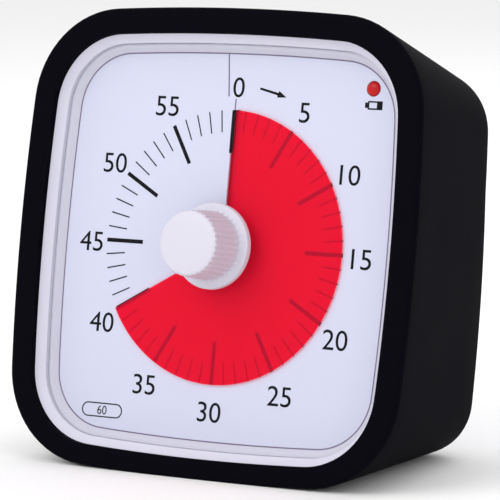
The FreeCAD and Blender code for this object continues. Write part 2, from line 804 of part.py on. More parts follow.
def make_train():
    """Centre wheel, third wheel, second wheel and rotor, in mesh at rest."""
    places = train_places()
    thick = DRIVING["wheel_thick"]
    centre, third, second = (DRIVING[f"{name}_level"] for name in ("centre", "third", "second"))
    pin = DRIVING["pin_size"] + DRIVING["seat_gap"]
    shaft = DRIVING["spindle_size"] + DRIVING["seat_gap"]
    turns = {
        "centre": facing(THIRD_ANGLE),
        "third_pinion": gap_facing(THIRD_ANGLE + 180, DRIVING["third_leaves"]),
        "third": facing(SECOND_ANGLE),
        "second_pinion": gap_facing(SECOND_ANGLE + 180, DRIVING["second_leaves"]),
        "second": facing(ROTOR_ANGLE),
        "rotor_pinion": gap_facing(ROTOR_ANGLE + 180, DRIVING["rotor_leaves"]),
    }
    low_hub = shaft + WHEEL_HUB
    wheel = tooth_ring(DRIVING["centre_teeth"], DRIVING["wheel_module"], shaft, centre, thick,
                       turns["centre"], [(low_hub, centre - HUB_STEP, centre + thick)])
    for hole in range(SPOKE_HOLES):
        angle = 2 * math.pi * hole / SPOKE_HOLES
        reach = DRIVING["centre_teeth"] * DRIVING["wheel_module"] / 2 * SPOKE_REACH
        spot = FreeCAD.Vector(reach * math.cos(angle), reach * math.sin(angle), -centre - thick)
        wheel = wheel.cut(Part.makeCylinder(SPOKE_HOLE, thick, spot))
    pieces = [solid_piece("centre_wheel", wheel)]

    pinion_long = thick + PINION_SPARE * 2
    third_piece = tooth_ring(DRIVING["third_teeth"], DRIVING["train_module"], 0, third, thick, turns["third"])
    third_pinion = tooth_ring(DRIVING["third_leaves"], DRIVING["wheel_module"], 0,
                              third + thick, centre + thick + PINION_SPARE - third - thick,
                              turns["third_pinion"])
    second_piece = tooth_ring(DRIVING["second_teeth"], DRIVING["rotor_module"], 0, second, thick, turns["second"])
    second_pinion = tooth_ring(DRIVING["second_leaves"], DRIVING["train_module"], 0,
                               second + thick, third + thick + PINION_SPARE - second - thick,
                               turns["second_pinion"])
    rotor = tooth_ring(DRIVING["rotor_leaves"], DRIVING["rotor_module"], 0,
                       second - PINION_SPARE, pinion_long, turns["rotor_pinion"])
    magnet_start = second - PINION_SPARE + pinion_long
    magnet = Part.makeCylinder(DRIVING["magnet_size"], DRIVING["magnet_thick"],
                               FreeCAD.Vector(0, 0, -magnet_start - DRIVING["magnet_thick"]))
    bore = Part.makeCylinder(pin, 200, FreeCAD.Vector(0, 0, -150))
    arbors = (
        ("third_wheel", third_piece.fuse(third_pinion), places[1]),
        ("second_wheel", second_piece.fuse(second_pinion), places[2]),
        ("rotor", rotor.fuse(magnet), places[3]),
    )
    for name, shape, (across, up) in arbors:
        place = FreeCAD.Placement(FreeCAD.Vector(across, up, 0), FreeCAD.Rotation())
        pieces.append(solid_piece(name, shape.cut(bore).transformed(place.Matrix, True)))
    return pieces


WHEEL_HUB = 1.4
HUB_STEP = 1.6
SPOKE_HOLES = 6
SPOKE_REACH = 0.62
SPOKE_HOLE = 2.1
PINION_SPARE = 0.4


def make_pins():
    """Fixed steel pins that the three small wheels turn on."""
    group = []
    for across, up in train_places()[1:]:
        start = (BLOCK_FRONT + S.block_wall / 2).value
        end = (BLOCK_BACK + S.cover_thick / 2).value
        spot = FreeCAD.Vector(across, up, -end)
        group.append(Part.makeCylinder(DRIVING["pin_size"], end - start, spot))
    return solid_piece("wheel_pins", Part.makeCompound(group))


def make_clutch():
    """Domed spring washer that presses the centre wheel along the spindle."""
    body = new_body("clutch_spring")
    sketch = new_sketch(body, role="XZ_Plane")
    bore = S.spindle_size + S.seat_gap
    rim = bore + CLUTCH_WIDE
    start = S.centre_level + S.wheel_thick + S.seat_gap
    add_polygon(sketch, [
        (bore, -start - CLUTCH_DOME),
        (rim, -start),
        (rim, -start - S.contact_thick),
        (bore, -start - CLUTCH_DOME - S.contact_thick),
    ])
    turn = body.newObject("PartDesign::Revolution", "clutch_turn")
    turn.Profile = sketch
    turn.ReferenceAxis = (sketch, ["V_Axis"])
    turn.Angle = 360
    doc.recompute()
    return body


CLUTCH_WIDE = Size.of(2.6)
CLUTCH_DOME = Size.of(0.7)


def make_block():
    """Movement tub that holds the train and the motor's coil."""
    body = new_body("movement_front_plate")
    box_pad(body, BLOCK_FRONT, S.block_depth,
            (-S.block_left, -S.block_low, S.block_right, S.block_high))
    wall = S.block_wall
    box_pocket(body, BLOCK_FRONT + wall, S.block_depth - wall,
               (wall - S.block_left, wall - S.block_low, S.block_right - wall, S.block_high - wall))
    circle_pocket(body, BLOCK_FRONT, wall, (0, 0, S.bush_flange + S.seat_gap))
    posts = [(across, up, TRAIN_POST) for across, up in train_places()[1:]]
    circle_pad(body, BLOCK_FRONT + wall, POST_HIGH, *posts)
    holes = [(across, up, S.pin_size + S.seat_gap) for across, up in train_places()[1:]]
    circle_pocket(body, BLOCK_FRONT + wall / 2, wall / 2 + POST_HIGH, *holes)
    circle_pad(body, BLOCK_FRONT + wall, S.block_depth - wall,
               *[(across, up, BLOCK_BOSS) for across, up in block_bosses()])
    circle_pocket(body, BLOCK_BACK, BLOCK_SCREW_LONG + wall,
                  *[(across, up, BLOCK_SCREW) for across, up in block_bosses()], forward=True)
    return body


TRAIN_POST = 1.1
POST_HIGH = Size.of(0.6)
BLOCK_BOSS = Size.of(1.9)
BLOCK_SCREW = Size.of(0.8)
BLOCK_HEAD = Size.of(1.5)
BLOCK_HEAD_THICK = Size.of(0.8)
BLOCK_SCREW_LONG = Size.of(7.0)
COVER_BACK = BLOCK_BACK + S.seat_gap + S.cover_thick


def block_bosses():
    """Corners of the movement block where its cover is screwed down."""
    reach = S.block_wall + BLOCK_BOSS / 2
    left, right = reach - S.block_left, S.block_right - reach
    low, high = reach - S.block_low, S.block_high - reach
    return [(left, low), (right, low), (left, high), (right, high)]


def make_cover():
    body = new_body("movement_back_cover")
    box_pad(body, BLOCK_BACK + S.seat_gap, S.cover_thick,
            (-S.block_left, -S.block_low, S.block_right, S.block_high))
    holes = [(across, up, S.pin_size + S.seat_gap) for across, up in train_places()[1:]]
    holes += [(across, up, BLOCK_SCREW + S.seat_gap) for across, up in block_bosses()]
    holes.append((ORIGIN, ORIGIN, S.pin_size * 2 + PIN_GAP))
    circle_pocket(body, BLOCK_BACK + S.seat_gap, S.cover_thick, *holes)
    circle_pocket(body, COVER_BACK, BLOCK_HEAD_THICK,
                  *[(across, up, BLOCK_HEAD + S.seat_gap) for across, up in block_bosses()],
                  forward=True)
    return body


def screws(name, places, size, head, head_thick, seat, length):
    """Identical screws whose heads sit at one depth, as separate solids."""
    group = []
    for across, up in places:
        x, y = Size.of(across).value, Size.of(up).value
        shank = Part.makeCylinder(size, length, FreeCAD.Vector(x, y, -seat))
        cap = Part.makeCylinder(head, head_thick, FreeCAD.Vector(x, y, -seat - head_thick))
        slot = Part.makeBox(head * 2, size / 2, head_thick / 2,
                            FreeCAD.Vector(x - head, y - size / 4, -seat - head_thick))
        group.append(shank.fuse(cap).cut(slot))
    return solid_piece(name, Part.makeCompound(group))


def make_screws():
    head = BLOCK_HEAD_THICK.value
    block = screws("movement_screws", block_bosses(), BLOCK_SCREW.value - DRIVING["seat_gap"],
                   BLOCK_HEAD.value, head, COVER_BACK.value - head, BLOCK_SCREW_LONG.value)
    seat = (CASE_BACK - SCREW_SINK + S.seat_gap).value
    reach = seat - DRIVING["front_depth"] + 8.0
    case = screws("case_screws", BOSSES, DRIVING["screw_size"] - DRIVING["seat_gap"],
                  DRIVING["head_size"], DRIVING["head_thick"], seat, reach)
    return [block, case]


def make_motor():
    """Stator plate, bobbin and winding of the stepping motor."""
    rotor_x, rotor_y = train_places()[3]
    level = Size.of(S.second_level + S.wheel_thick + PINION_SPARE + MAGNET_LEAD)
    plate = new_body("stator_plate")
    sketch = new_sketch(plate, level)
    left = STATOR_SPARE * 2 - S.coil_across - S.coil_core
    low, high = S.coil_low - ARM_WIDE, S.coil_low + S.coil_length + ARM_WIDE
    right = rotor_x + S.magnet_size + S.run_gap + STATOR_SPARE * 3
    inner = S.coil_size + STATOR_SPARE * 2 - S.coil_across
    foot, head = S.coil_low - STATOR_SPARE, S.coil_low + S.coil_length + STATOR_SPARE
    add_polygon(sketch, [
        (left, head), (left, high), (right, high), (right, low),
        (left, low), (left, foot), (inner, foot), (inner, head),
    ])
    pad(plate, sketch, S.stator_thick)
    circle_pocket(plate, level, S.stator_thick, (rotor_x, rotor_y, S.magnet_size + S.run_gap))
    axis_level = level + S.stator_thick + S.seat_gap + S.coil_core
    bobbin = new_body("coil_bobbin")
    core = along_sketch(bobbin, low)
    add_circle(core, -S.coil_across, -axis_level, S.coil_core)
    pad(bobbin, core, high - low)
    for start in (S.coil_low, S.coil_low + S.coil_length - FLANGE_THICK):
        flange = along_sketch(bobbin, start)
        add_circle(flange, -S.coil_across, -axis_level, S.coil_size)
        pad(bobbin, flange, FLANGE_THICK)
    winding = new_body("coil_winding")
    wire = along_sketch(winding, S.coil_low + FLANGE_THICK + S.seat_gap)
    add_circle(wire, -S.coil_across, -axis_level, S.coil_size - STATOR_SPARE)
    add_circle(wire, -S.coil_across, -axis_level, S.coil_core + S.seat_gap)
    pad(winding, wire, S.coil_length - (FLANGE_THICK + S.seat_gap) * 2)
    return [plate, bobbin, winding]


MAGNET_LEAD = 0.7
STATOR_SPARE = Size.of(0.3)
ARM_WIDE = Size.of(2.6)
FLANGE_THICK = Size.of(0.8)


def along_sketch(body, start):
    """A sketch square to the upward axis, whose pad runs up the dial."""
    sketch = new_sketch(body, role="XZ_Plane")
    sketch.setExpression("AttachmentOffset.Base.z", (-Size.of(start)).text)
    return sketch


def across_sketch(body, start):
    """A sketch square to the axis across the case."""
    sketch = new_sketch(body, role="YZ_Plane")
    sketch.setExpression("AttachmentOffset.Base.z", Size.of(start).text)
    return sketch


def make_electronics():
    """Circuit board with its crystal and chip, the switch and the buzzer."""
    board = new_body("circuit_board")
    box_pad(board, S.board_depth, S.board_thick,
            (S.board_left, S.board_low, S.board_right, S.board_high))
    chip = new_body("chip_cover")
    top = S.board_depth - S.seat_gap
    chip_x = (S.board_left + S.board_right) / 2
    dome = circle_pad(chip, top - CHIP_HIGH, CHIP_HIGH, (chip_x, CHIP_UP, CHIP_SIZE))
    round_edges(chip, edges_at(dome.Shape, (top - CHIP_HIGH).value, lambda edge: True),
                CHIP_HIGH * 0.8)
    crystal = new_body("quartz_crystal")
    can = along_sketch(crystal, CHIP_UP + CHIP_SIZE + CRYSTAL_SIZE)
    add_circle(can, chip_x, CRYSTAL_SIZE - top, CRYSTAL_SIZE)
    pad(crystal, can, CRYSTAL_SIZE * 6)
    switch = new_body("switch_body")
    base = BOARD_BACK + S.seat_gap
    half_long, half_tall = S.slider_long + SWITCH_SPARE, S.slider_tall / 2 + SWITCH_SPARE
    box_pad(switch, base, SLIDER_BASE - PIN_GAP - base,
            (S.slider_across - half_long, S.slider_up - half_tall,
             S.slider_across + half_long, S.slider_up + half_tall))
    buzzer = new_body("buzzer")
    buzzer_back = CASE_BACK - S.case_wall - S.seat_gap
    circle_pad(buzzer, buzzer_back - S.buzzer_thick, S.buzzer_thick,
               (-S.buzzer_left, S.buzzer_up, S.buzzer_size))
    circle_pocket(buzzer, buzzer_back, S.buzzer_thick / 2,
                  (-S.buzzer_left, S.buzzer_up, S.buzzer_size / 6), forward=True)
    return [board, chip, crystal, switch, buzzer]


CHIP_HIGH = Size.of(1.2)
CHIP_SIZE = Size.of(3.6)
CHIP_UP = Size.of(3.0)
CRYSTAL_SIZE = Size.of(1.0)
SWITCH_SPARE = Size.of(0.5)
SLIDER_PLATE = Size.of(0.8)
SLIDER_BASE = CASE_BACK - S.case_wall - PIN_GAP - SLIDER_PLATE


def make_slider():
    """Sound switch slider: a cover plate under the wall and a ribbed nub."""
    body = new_body("sound_slider")
    half_long, half_tall = S.slider_long / 2, S.slider_tall / 2
    cover = half_long + S.slider_travel + S.run_gap * 2
    box_pad(body, SLIDER_BASE, SLIDER_PLATE,
            (S.slider_across - cover, S.slider_up - half_tall * 2,
             S.slider_across + cover, S.slider_up + half_tall * 2))
    nub_end = CASE_BACK + S.slider_proud
    box_pad(body, SLIDER_BASE, nub_end - SLIDER_BASE,
            (S.slider_across - half_long, S.slider_up - half_tall,
             S.slider_across + half_long, S.slider_up + half_tall))
    grooves = []
    for step in (-1, 0, 1):
        middle = S.slider_across + step * S.slider_long / 4
        grooves.append((middle - GROOVE_HALF, S.slider_up - half_tall,
                        middle + GROOVE_HALF, S.slider_up + half_tall))
    box_pocket(body, nub_end, GROOVE_HALF * 2, *grooves, forward=True)
    return body


GROOVE_HALF = Size.of(0.2)


def make_lamp():
    """Small round lamp in its hole in the dial, on its own little board."""
    lamp = new_body("indicator_lamp")
    size = S.lamp_size - S.seat_gap
    seat = FLOOR_BACK
    profile = new_sketch(lamp, role="XZ_Plane")
    profile.setExpression("AttachmentOffset.Base.z", (-S.lamp_up).text)
    middle = S.lamp_across
    tip = S.dial_depth - LAMP_PROUD
    add_polygon(profile, [
        (middle, -tip),
        (middle + size * 0.5, -tip - LAMP_PROUD * 0.25),
        (middle + size * 0.87, -tip - LAMP_PROUD * 0.8),
        (middle + size, -tip - LAMP_PROUD * 1.6),
        (middle + size, -seat + LAMP_RIM),
        (middle + size + PIN_GAP, -seat + LAMP_RIM),
        (middle + size + PIN_GAP, -seat),
        (middle, -seat),
    ])
    line = profile.addGeometry(Part.LineSegment(FreeCAD.Vector(middle.value, 0, 0),
                                                FreeCAD.Vector(middle.value, 1, 0)), True)
    profile.addConstraint(Sketcher.Constraint("Vertical", line))
    hold(profile, "DistanceX", -1, 1, line, 1, size=middle)
    turn = lamp.newObject("PartDesign::Revolution", "lamp_turn")
    turn.Profile = profile
    turn.ReferenceAxis = (profile, ["Axis0"])
    turn.Angle = 360
    doc.recompute()
    board = new_body("lamp_board")
    half = S.lamp_size + LAMP_BOARD_SPARE
    box_pad(board, FLOOR_BACK + S.seat_gap, S.board_thick * 0.7,
            (middle - half, S.lamp_up - half, middle + half, S.lamp_up + half))
    return [lamp, board]


LAMP_PROUD = Size.of(0.5)
LAMP_RIM = Size.of(0.8)
LAMP_BOARD_SPARE = Size.of(1.0)


def make_cell():
    """One pen cell with its raised end, and the two contacts it sits between."""
    cell = new_body("battery_cell")
    half = S.cell_length / 2
    middle = -S.cell_down
    shell = across_sketch(cell, -half)
    add_circle(shell, middle, -S.cell_depth, S.cell_size)
    can = pad(cell, shell, S.cell_length, forward=True)
    rims = [f"Edge{number}" for number, edge in enumerate(can.Shape.Edges, start=1)
            if edge.BoundBox.XLength < FINE]
    round_edges(cell, rims, CELL_ROUND)
    nub = across_sketch(cell, half - CELL_ROUND)
    add_circle(nub, middle, -S.cell_depth, CELL_NUB)
    pad(cell, nub, CELL_NUB_LONG + CELL_ROUND, forward=True)
    end = S.bay_across - S.seat_gap
    flat = new_contact("plate_contact", end, half + CELL_NUB_LONG + S.seat_gap)
    sprung = new_contact("spring_contact", -end, -half - S.seat_gap)
    return [cell, flat, sprung]


CELL_ROUND = Size.of(0.8)
CELL_NUB = Size.of(2.75)
CELL_NUB_LONG = Size.of(1.3)
CONTACT_HALF = Size.of(3.6)
CONTACT_LONG = Size.of(5.2)


def new_contact(name, wall, touch):
    """A bent strip against the bay's end wall that bulges to the cell."""
    body = new_body(name)
    sketch = along_sketch(body, -S.cell_down - CONTACT_HALF)
    side = 1 if wall.value > 0 else -1
    skin = S.contact_thick * side
    middle = -S.cell_depth
    add_polygon(sketch, [
        (wall, middle + CONTACT_LONG),
        (wall, middle - CONTACT_LONG),
        (wall - skin, middle - CONTACT_LONG),
        (touch, middle - CONTACT_LONG * 0.2),
        (touch, middle + CONTACT_LONG * 0.2),
        (wall - skin, middle + CONTACT_LONG),
    ])
    pad(body, sketch, CONTACT_HALF * 2)
    return body


def make_door():
    """Cell door on two side pins along its lower edge, with a finger notch."""
    body = new_body("battery_door")
    panel = across_sketch(body, ORIGIN)
    add_box(panel, HINGE_UP, -CASE_BACK, DOOR_HIGH, S.door_thick - CASE_BACK)
    pad(body, panel, DOOR_HALF * 2, both=True)
    edge = across_sketch(body, ORIGIN)
    add_circle(edge, HINGE_UP, -HINGE_DEPTH, S.door_thick / 2)
    pad(body, edge, DOOR_HALF * 2, both=True)
    pins = across_sketch(body, ORIGIN)
    add_circle(pins, HINGE_UP, -HINGE_DEPTH, S.hinge_pin)
    pad(body, pins, (DOOR_HALF + S.hinge_reach) * 2, both=True)
    circle_pocket(body, CASE_BACK, S.door_thick / 2, (ORIGIN, DOOR_HIGH, NOTCH_SIZE), forward=True)
    return body


NOTCH_SIZE = Size.of(5.0)


def rest_turn():
    """Leans a piece back onto its drafted underside, with z upwards."""
    return FreeCAD.Rotation(FreeCAD.Vector(1, 0, 0), 90 - DRIVING["draft"])


def lean_back(pieces):
    """Stands the pieces on their foot, over the middle of their footprint."""
    turn = rest_turn()
    leant = [piece.Shape.copy() for piece in pieces]
    for shape in leant:
        shape.Placement = FreeCAD.Placement(FreeCAD.Vector(), turn)
    boxes = [shape.optimalBoundingBox(False) for shape in leant]
    near, far = min(box.YMin for box in boxes), max(box.YMax for box in boxes)
    low = min(box.ZMin for box in boxes)
    place = FreeCAD.Placement(FreeCAD.Vector(0, -(near + far) / 2, -low), turn)
    for piece in pieces:
        piece.Placement = place
    return place


def main():
    pieces = [make_sleeve(), make_front_case(), make_rear_case(), make_lens(), make_dial()]
    pieces += [make_film(), make_hub(), make_spindle(), make_knob(), make_bush()]
    pieces += make_train() + [make_pins(), make_clutch(), make_block(), make_cover()]
    pieces += make_screws() + make_motor() + make_electronics()
    pieces += [make_slider()] + make_lamp() + make_cell() + [make_door()]
    place = lean_back(pieces)
    doc.recompute()
    for thing in doc.Objects:
        if "Invalid" in thing.State or "Error" in thing.State:
            raise RuntimeError(f"{thing.Name} did not build: {thing.State}")
    for piece in pieces:
        if piece.Shape.isNull() or not piece.Shape.isValid():
            raise RuntimeError(f"{piece.Label} is not a sound solid")
        print(piece.Label, len(piece.Shape.Solids), round(piece.Shape.Volume, 1))
        piece.Shape.exportStep(f"parts/{piece.Label}.step")
    print("dial centre", place.Base)
    hinge = place.multVec(FreeCAD.Vector(0, HINGE_UP.value, -HINGE_DEPTH.value))
    print("door hinge", hinge)
    for name, (across, up) in zip(("centre", "third", "second", "rotor"), train_places()):
        print(name, place.multVec(FreeCAD.Vector(across, up, 0)))


main()
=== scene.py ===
"""Dresses the visual timer: its printed dial, red film, knob, lamp and finishes.

Places on the dial are in millimetres, x to the right, y up the dial and z
towards the viewer from the front of the rim, and are laid into the frame at
the end by the dial's own joint.
"""

import json
import logging
import math
from dataclasses import dataclass, field
from enum import Enum
from typing import Any, Callable

import bpy
import numpy as np
from mathutils import Matrix, Vector


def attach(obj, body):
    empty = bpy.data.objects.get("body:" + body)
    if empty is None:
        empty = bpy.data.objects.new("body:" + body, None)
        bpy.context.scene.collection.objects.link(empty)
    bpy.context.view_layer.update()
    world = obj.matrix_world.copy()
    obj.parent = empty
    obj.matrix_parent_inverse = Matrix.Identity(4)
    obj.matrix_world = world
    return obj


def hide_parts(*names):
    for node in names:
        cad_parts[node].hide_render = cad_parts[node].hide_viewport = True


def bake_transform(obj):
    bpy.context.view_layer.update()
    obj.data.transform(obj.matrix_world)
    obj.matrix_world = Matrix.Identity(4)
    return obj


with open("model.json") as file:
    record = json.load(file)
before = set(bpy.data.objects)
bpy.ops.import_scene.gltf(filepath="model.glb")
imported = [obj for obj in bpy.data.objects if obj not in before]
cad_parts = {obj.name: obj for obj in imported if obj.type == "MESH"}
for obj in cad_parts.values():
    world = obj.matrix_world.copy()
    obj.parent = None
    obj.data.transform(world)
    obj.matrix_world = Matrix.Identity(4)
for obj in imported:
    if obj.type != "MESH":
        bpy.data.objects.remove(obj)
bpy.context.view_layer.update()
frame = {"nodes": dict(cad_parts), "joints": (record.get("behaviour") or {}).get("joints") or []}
LOG = logging.getLogger("timer")
Colour = tuple[float, float, float, float]
Point = tuple[float, float]
Place = tuple[float, float, float]

MM = 0.001
FULL_TURN = 2 * math.pi
FULL_DEGREES = 360.0
MINUTES = 60
MERGE_GAP = 0.0001
NOISE_MIDDLE = 0.5
CRISP_ANGLE = 30.0
SOFT_ANGLE = 40.0
DIAL_DEPTH = 5.2
SCALE_RIM = 26.4
SCREEN_KNEE = 0.04045
SCREEN_SLOPE = 12.92
SCREEN_OFFSET = 0.055
SCREEN_POWER = 2.4


def srgb(red: int, green: int, blue: int) -> Colour:
    """Turns screen colour levels from 0 to 255 into a linear colour.

    Args:
        red: Level of red.
        green: Level of green.
        blue: Level of blue.

    Returns:
        The linear colour with full alpha.
    """
    def linear(level: int) -> float:
        """Undoes the screen curve of one level."""
        share = level / 255
        if share <= SCREEN_KNEE:
            return share / SCREEN_SLOPE
        return ((share + SCREEN_OFFSET) / (1 + SCREEN_OFFSET)) ** SCREEN_POWER

    return linear(red), linear(green), linear(blue), 1.0


class Value:
    """A number socket that takes part in Python expressions."""

    def __init__(self, graph: "Graph", socket: Any) -> None:
        """Keeps the socket and the graph that it belongs to."""
        self.graph = graph
        self.socket = socket

    def _maths(self, operation: str, other: Any) -> "Value":
        """Adds one Math node on this value and another, and returns its result."""
        made = self.graph.node("ShaderNodeMath", {"operation": operation}, {0: self, 1: other})
        return Value(self.graph, made.outputs[0])

    def __add__(self, other: Any) -> "Value":
        """Adds a number or a value."""
        return self._maths("ADD", other)

    def __sub__(self, other: Any) -> "Value":
        """Takes away a number or a value."""
        return self._maths("SUBTRACT", other)

    def __mul__(self, other: Any) -> "Value":
        """Multiplies by a number or a value."""
        return self._maths("MULTIPLY", other)

    __radd__ = __add__


class Graph:
    """The node tree of one material, with short ways to add to it."""

    def __init__(self, name: str) -> None:
        """Starts an empty material of this name."""
        self.material = bpy.data.materials.new(name)
        self.material.use_nodes = True
        self.tree = self.material.node_tree
        self.tree.nodes.clear()

    def node(self, kind: str, settings: dict[str, Any] | None = None,
             inputs: dict[Any, Any] | None = None) -> Any:
        """Adds a node, sets it up and fills its sockets.

        Args:
            kind: The node's type.
            settings: Properties set first; "stops" sets a ramp's positions and colours.
            inputs: Socket names or numbers, with a value or something to link.

        Returns:
            The new node.
        """
        made = self.tree.nodes.new(kind)
        for name, setting in (settings or {}).items():
            if name == "stops":
                ends = made.color_ramp.elements
                for element, (position, colour) in zip(ends, setting):
                    element.position = position
                    element.color = colour
            else:
                setattr(made, name, setting)
        for key, thing in (inputs or {}).items():
            source = thing.socket if isinstance(thing, Value) else thing
            if isinstance(source, bpy.types.NodeSocket):
                self.tree.links.new(source, made.inputs[key])
            else:
                made.inputs[key].default_value = source
        return made

    def place(self) -> Any:
        """Returns the piece's own coordinates."""
        return self.node("ShaderNodeTexCoord").outputs["Object"]

    def noise(self, size: float, detail: float = 3.0, roughness: float = 0.5) -> Value:
        """Noise whose grains are about a size in metres.

        Args:
            size: Width of a grain.
            detail: Octaves of noise.
            roughness: Share that the finer octaves keep.

        Returns:
            The noise's value from 0 to 1.
        """
        made = self.node("ShaderNodeTexNoise", {"noise_dimensions": "3D"}, {
            "Vector": self.place(), "Scale": 1 / size, "Detail": detail, "Roughness": roughness})
        return Value(self, made.outputs[0])

    def blend(self, share: Any, low: Any, high: Any) -> Any:
        """Mixes two colours by a share and returns the colour socket."""
        made = self.node("ShaderNodeMix", {"data_type": "RGBA"}, {0: share, 6: low, 7: high})
        return made.outputs[2]

    def finish(self, shader: Any) -> bpy.types.Material:
        """Links a shader to the output and returns the material."""
        self.node("ShaderNodeOutputMaterial", None, {"Surface": shader})
        return self.material


@dataclass(frozen=True)
class Finish:
    """An opaque finish: colour that drifts a little, gloss and a fine texture."""

    name: str
    colour: Colour
    rough: float = 0.4
    metal: float = 0.0
    drift: float = 0.04
    grain: float = 0.0004
    relief: float = 0.02
    coat: float = 0.0
    specular: float = 0.5
    glow: float = 0.0
    wear: float = 0.08
    broad_grain: float = 0.018
    broad_share: float = 0.6
    mottle_grain: float = 0.0035
    mottle_share: float = 0.4
    mottle_relief: float = 0.5
    fine_wear: float = 0.6
    relief_depth: float = 0.5

    def build(self) -> bpy.types.Material:
        """Makes the material.

        Returns:
            The finished material.
        """
        graph = Graph(self.name)
        broad = graph.noise(self.broad_grain, detail=4.0)
        fine = graph.noise(self.grain, roughness=0.6)
        mottle = graph.noise(self.mottle_grain)
        dark = tuple(channel * (1 - self.drift * 2) for channel in self.colour[:3]) + (1.0,)
        light = tuple(min(1.0, channel * (1 + self.drift)) for channel in self.colour[:3]) + (1.0,)
        colour = graph.blend(broad * self.broad_share + mottle * self.mottle_share, dark, light)
        rough = (self.rough + (broad - NOISE_MIDDLE) * self.wear
                 + (fine - NOISE_MIDDLE) * (self.wear * self.fine_wear))
        bump = graph.node("ShaderNodeBump", None, {
            "Strength": self.relief, "Distance": self.grain * self.relief_depth,
            "Height": fine + mottle * self.mottle_relief})
        shader = graph.node("ShaderNodeBsdfPrincipled", None, {
            "Base Color": colour, "Roughness": rough, "Metallic": self.metal,
            "Specular IOR Level": self.specular, "Coat Weight": self.coat,
            "Normal": bump.outputs[0],
            "Emission Color": self.colour, "Emission Strength": self.glow})
        return graph.finish(shader.outputs[0])


@dataclass(frozen=True)
class ClearFinish:
    """A see-through finish: a tint that light passes, under a plastic surface whose glow is painted
    light.
    """

    name: str
    tint: Colour
    surface: Colour
    share: float
    rough: float = 0.1
    specular: float = 0.5
    glow: float = 0.0
    drift_grain: float = 0.02
    drift_rough: float = 0.05

    def build(self) -> bpy.types.Material:
        """Makes the material.

        Returns:
            The finished material.
        """
        graph = Graph(self.name)
        drift = graph.noise(self.drift_grain, detail=2.0)
        through = graph.node("ShaderNodeBsdfTransparent", None, {"Color": self.tint})
        body = graph.node("ShaderNodeBsdfPrincipled", None, {
            "Base Color": self.surface, "Roughness": self.rough + drift * self.drift_rough,
            "Specular IOR Level": self.specular,
            "Emission Color": self.surface, "Emission Strength": self.glow})
        mixed = graph.node("ShaderNodeMixShader", None, {
            0: self.share, 1: through.outputs[0], 2: body.outputs[0]})
        return graph.finish(mixed.outputs[0])


class Paint(Enum):
    """Every finish on the timer."""

    SLEEVE = Finish("soft black silicone", srgb(8, 7, 14), rough=0.66, drift=0.08, grain=0.00025,
                    relief=0.12, specular=0.015, wear=0.1)
    WHITE = Finish("white moulded case", srgb(206, 205, 219), rough=0.42, drift=0.015,
                   relief=0.03, specular=0.35)
    DIAL = Finish("satin dial face", srgb(206, 208, 229), rough=0.6, drift=0.008,
                  relief=0.015, specular=0.2)
    INK = Finish("black dial ink", srgb(8, 8, 14), rough=0.5, drift=0.05, relief=0.01, specular=0.1)
    # Painted shade: grey-violet colour for the slit's shadow line and for the shade line in the crease
    # at the dial's rim.
    SLIT = Finish("painted shade lines", srgb(120, 110, 134), rough=0.7, drift=0.03, relief=0.01, specular=0.2)
    KNOB = Finish("white knob plastic", srgb(201, 198, 211), rough=0.42, drift=0.01,
                  relief=0.02, specular=0.3)
    LAMP = Finish("red lamp lens", srgb(190, 10, 14), rough=0.25, drift=0.1,
                  relief=0.01, specular=0.25, glow=0.05)
    INNER = Finish("inner white plastic", srgb(225, 224, 220), rough=0.5, drift=0.02)
    STEEL = Finish("bright steel", srgb(190, 190, 188), rough=0.3, metal=1.0, drift=0.05, relief=0.05)
    BRASS = Finish("yellow brass", srgb(205, 168, 84), rough=0.28, metal=1.0, drift=0.06, relief=0.05)
    GEAR = Finish("natural gear plastic", srgb(232, 230, 222), rough=0.45, drift=0.02)
    BLOCK = Finish("movement black plastic", srgb(32, 32, 34), rough=0.5, drift=0.05, relief=0.06)
    COPPER = Finish("enamelled copper", srgb(176, 92, 48), rough=0.3, metal=0.9, drift=0.1, relief=0.2)
    BOARD = Finish("green board lacquer", srgb(28, 92, 52), rough=0.35, drift=0.08, coat=0.3)
    DARK = Finish("dark component plastic", srgb(24, 24, 26), rough=0.45, drift=0.05)
    CELL = Finish("cell wrapper", srgb(40, 42, 48), rough=0.25, metal=0.5, drift=0.05, coat=0.3)
    # The film's glow is painted light: its surface shines red without any lamp, making it brighter than
    # the light it gets.
    FILM = ClearFinish("red film", (1.0, 0.08, 0.2, 1.0), srgb(255, 44, 92), 0.18, rough=0.6,
                       specular=0.05, glow=0.34)
    WINDOW = ClearFinish("clear window", (0.995, 0.995, 0.995, 1.0), (0.03, 0.03, 0.04, 1.0),
                         0.025, rough=0.05)

    def material(self) -> bpy.types.Material:
        """Returns the finish's material, made once."""
        known = bpy.data.materials.get(self.value.name)
        return known or self.value.build()


class DialSpace:
    """Lays what is drawn on the dial, in millimetres, into the frame."""

    def __init__(self, joints: list[dict[str, Any]], name: str) -> None:
        """Reads the dial's axis from the joint of this name."""
        turn = next(joint for joint in joints if joint["name"] == name)
        self.forward = Vector(turn["axis"]).normalized()
        self.right = Vector((1, 0, 0))
        self.up = self.forward.cross(self.right)
        self.centre = Vector(turn["pos_m"])
        axes = Matrix((self.right, self.up, self.forward)).transposed().to_4x4()
        self.matrix = Matrix.Translation(self.centre) @ axes @ Matrix.Scale(MM, 4)

    def lay(self, piece: bpy.types.Object) -> bpy.types.Object:
        """Moves a piece's mesh into the frame and leaves its object at the origin."""
        piece.data.transform(piece.matrix_world)
        piece.matrix_world = Matrix.Identity(4)
        piece.data.transform(self.matrix)
        piece.data.update()
        return piece

    def point(self, x: float, y: float, z: float) -> Vector:
        """Returns the frame's place of a point on the dial."""
        return self.matrix @ Vector((x, y, z))


DIAL = DialSpace(frame["joints"], "dial_turn")


def deselect() -> None:
    """Deselects every object, in object mode."""
    if bpy.context.object and bpy.context.object.mode != "OBJECT":
        bpy.ops.object.mode_set(mode="OBJECT")
    bpy.ops.object.select_all(action="DESELECT")


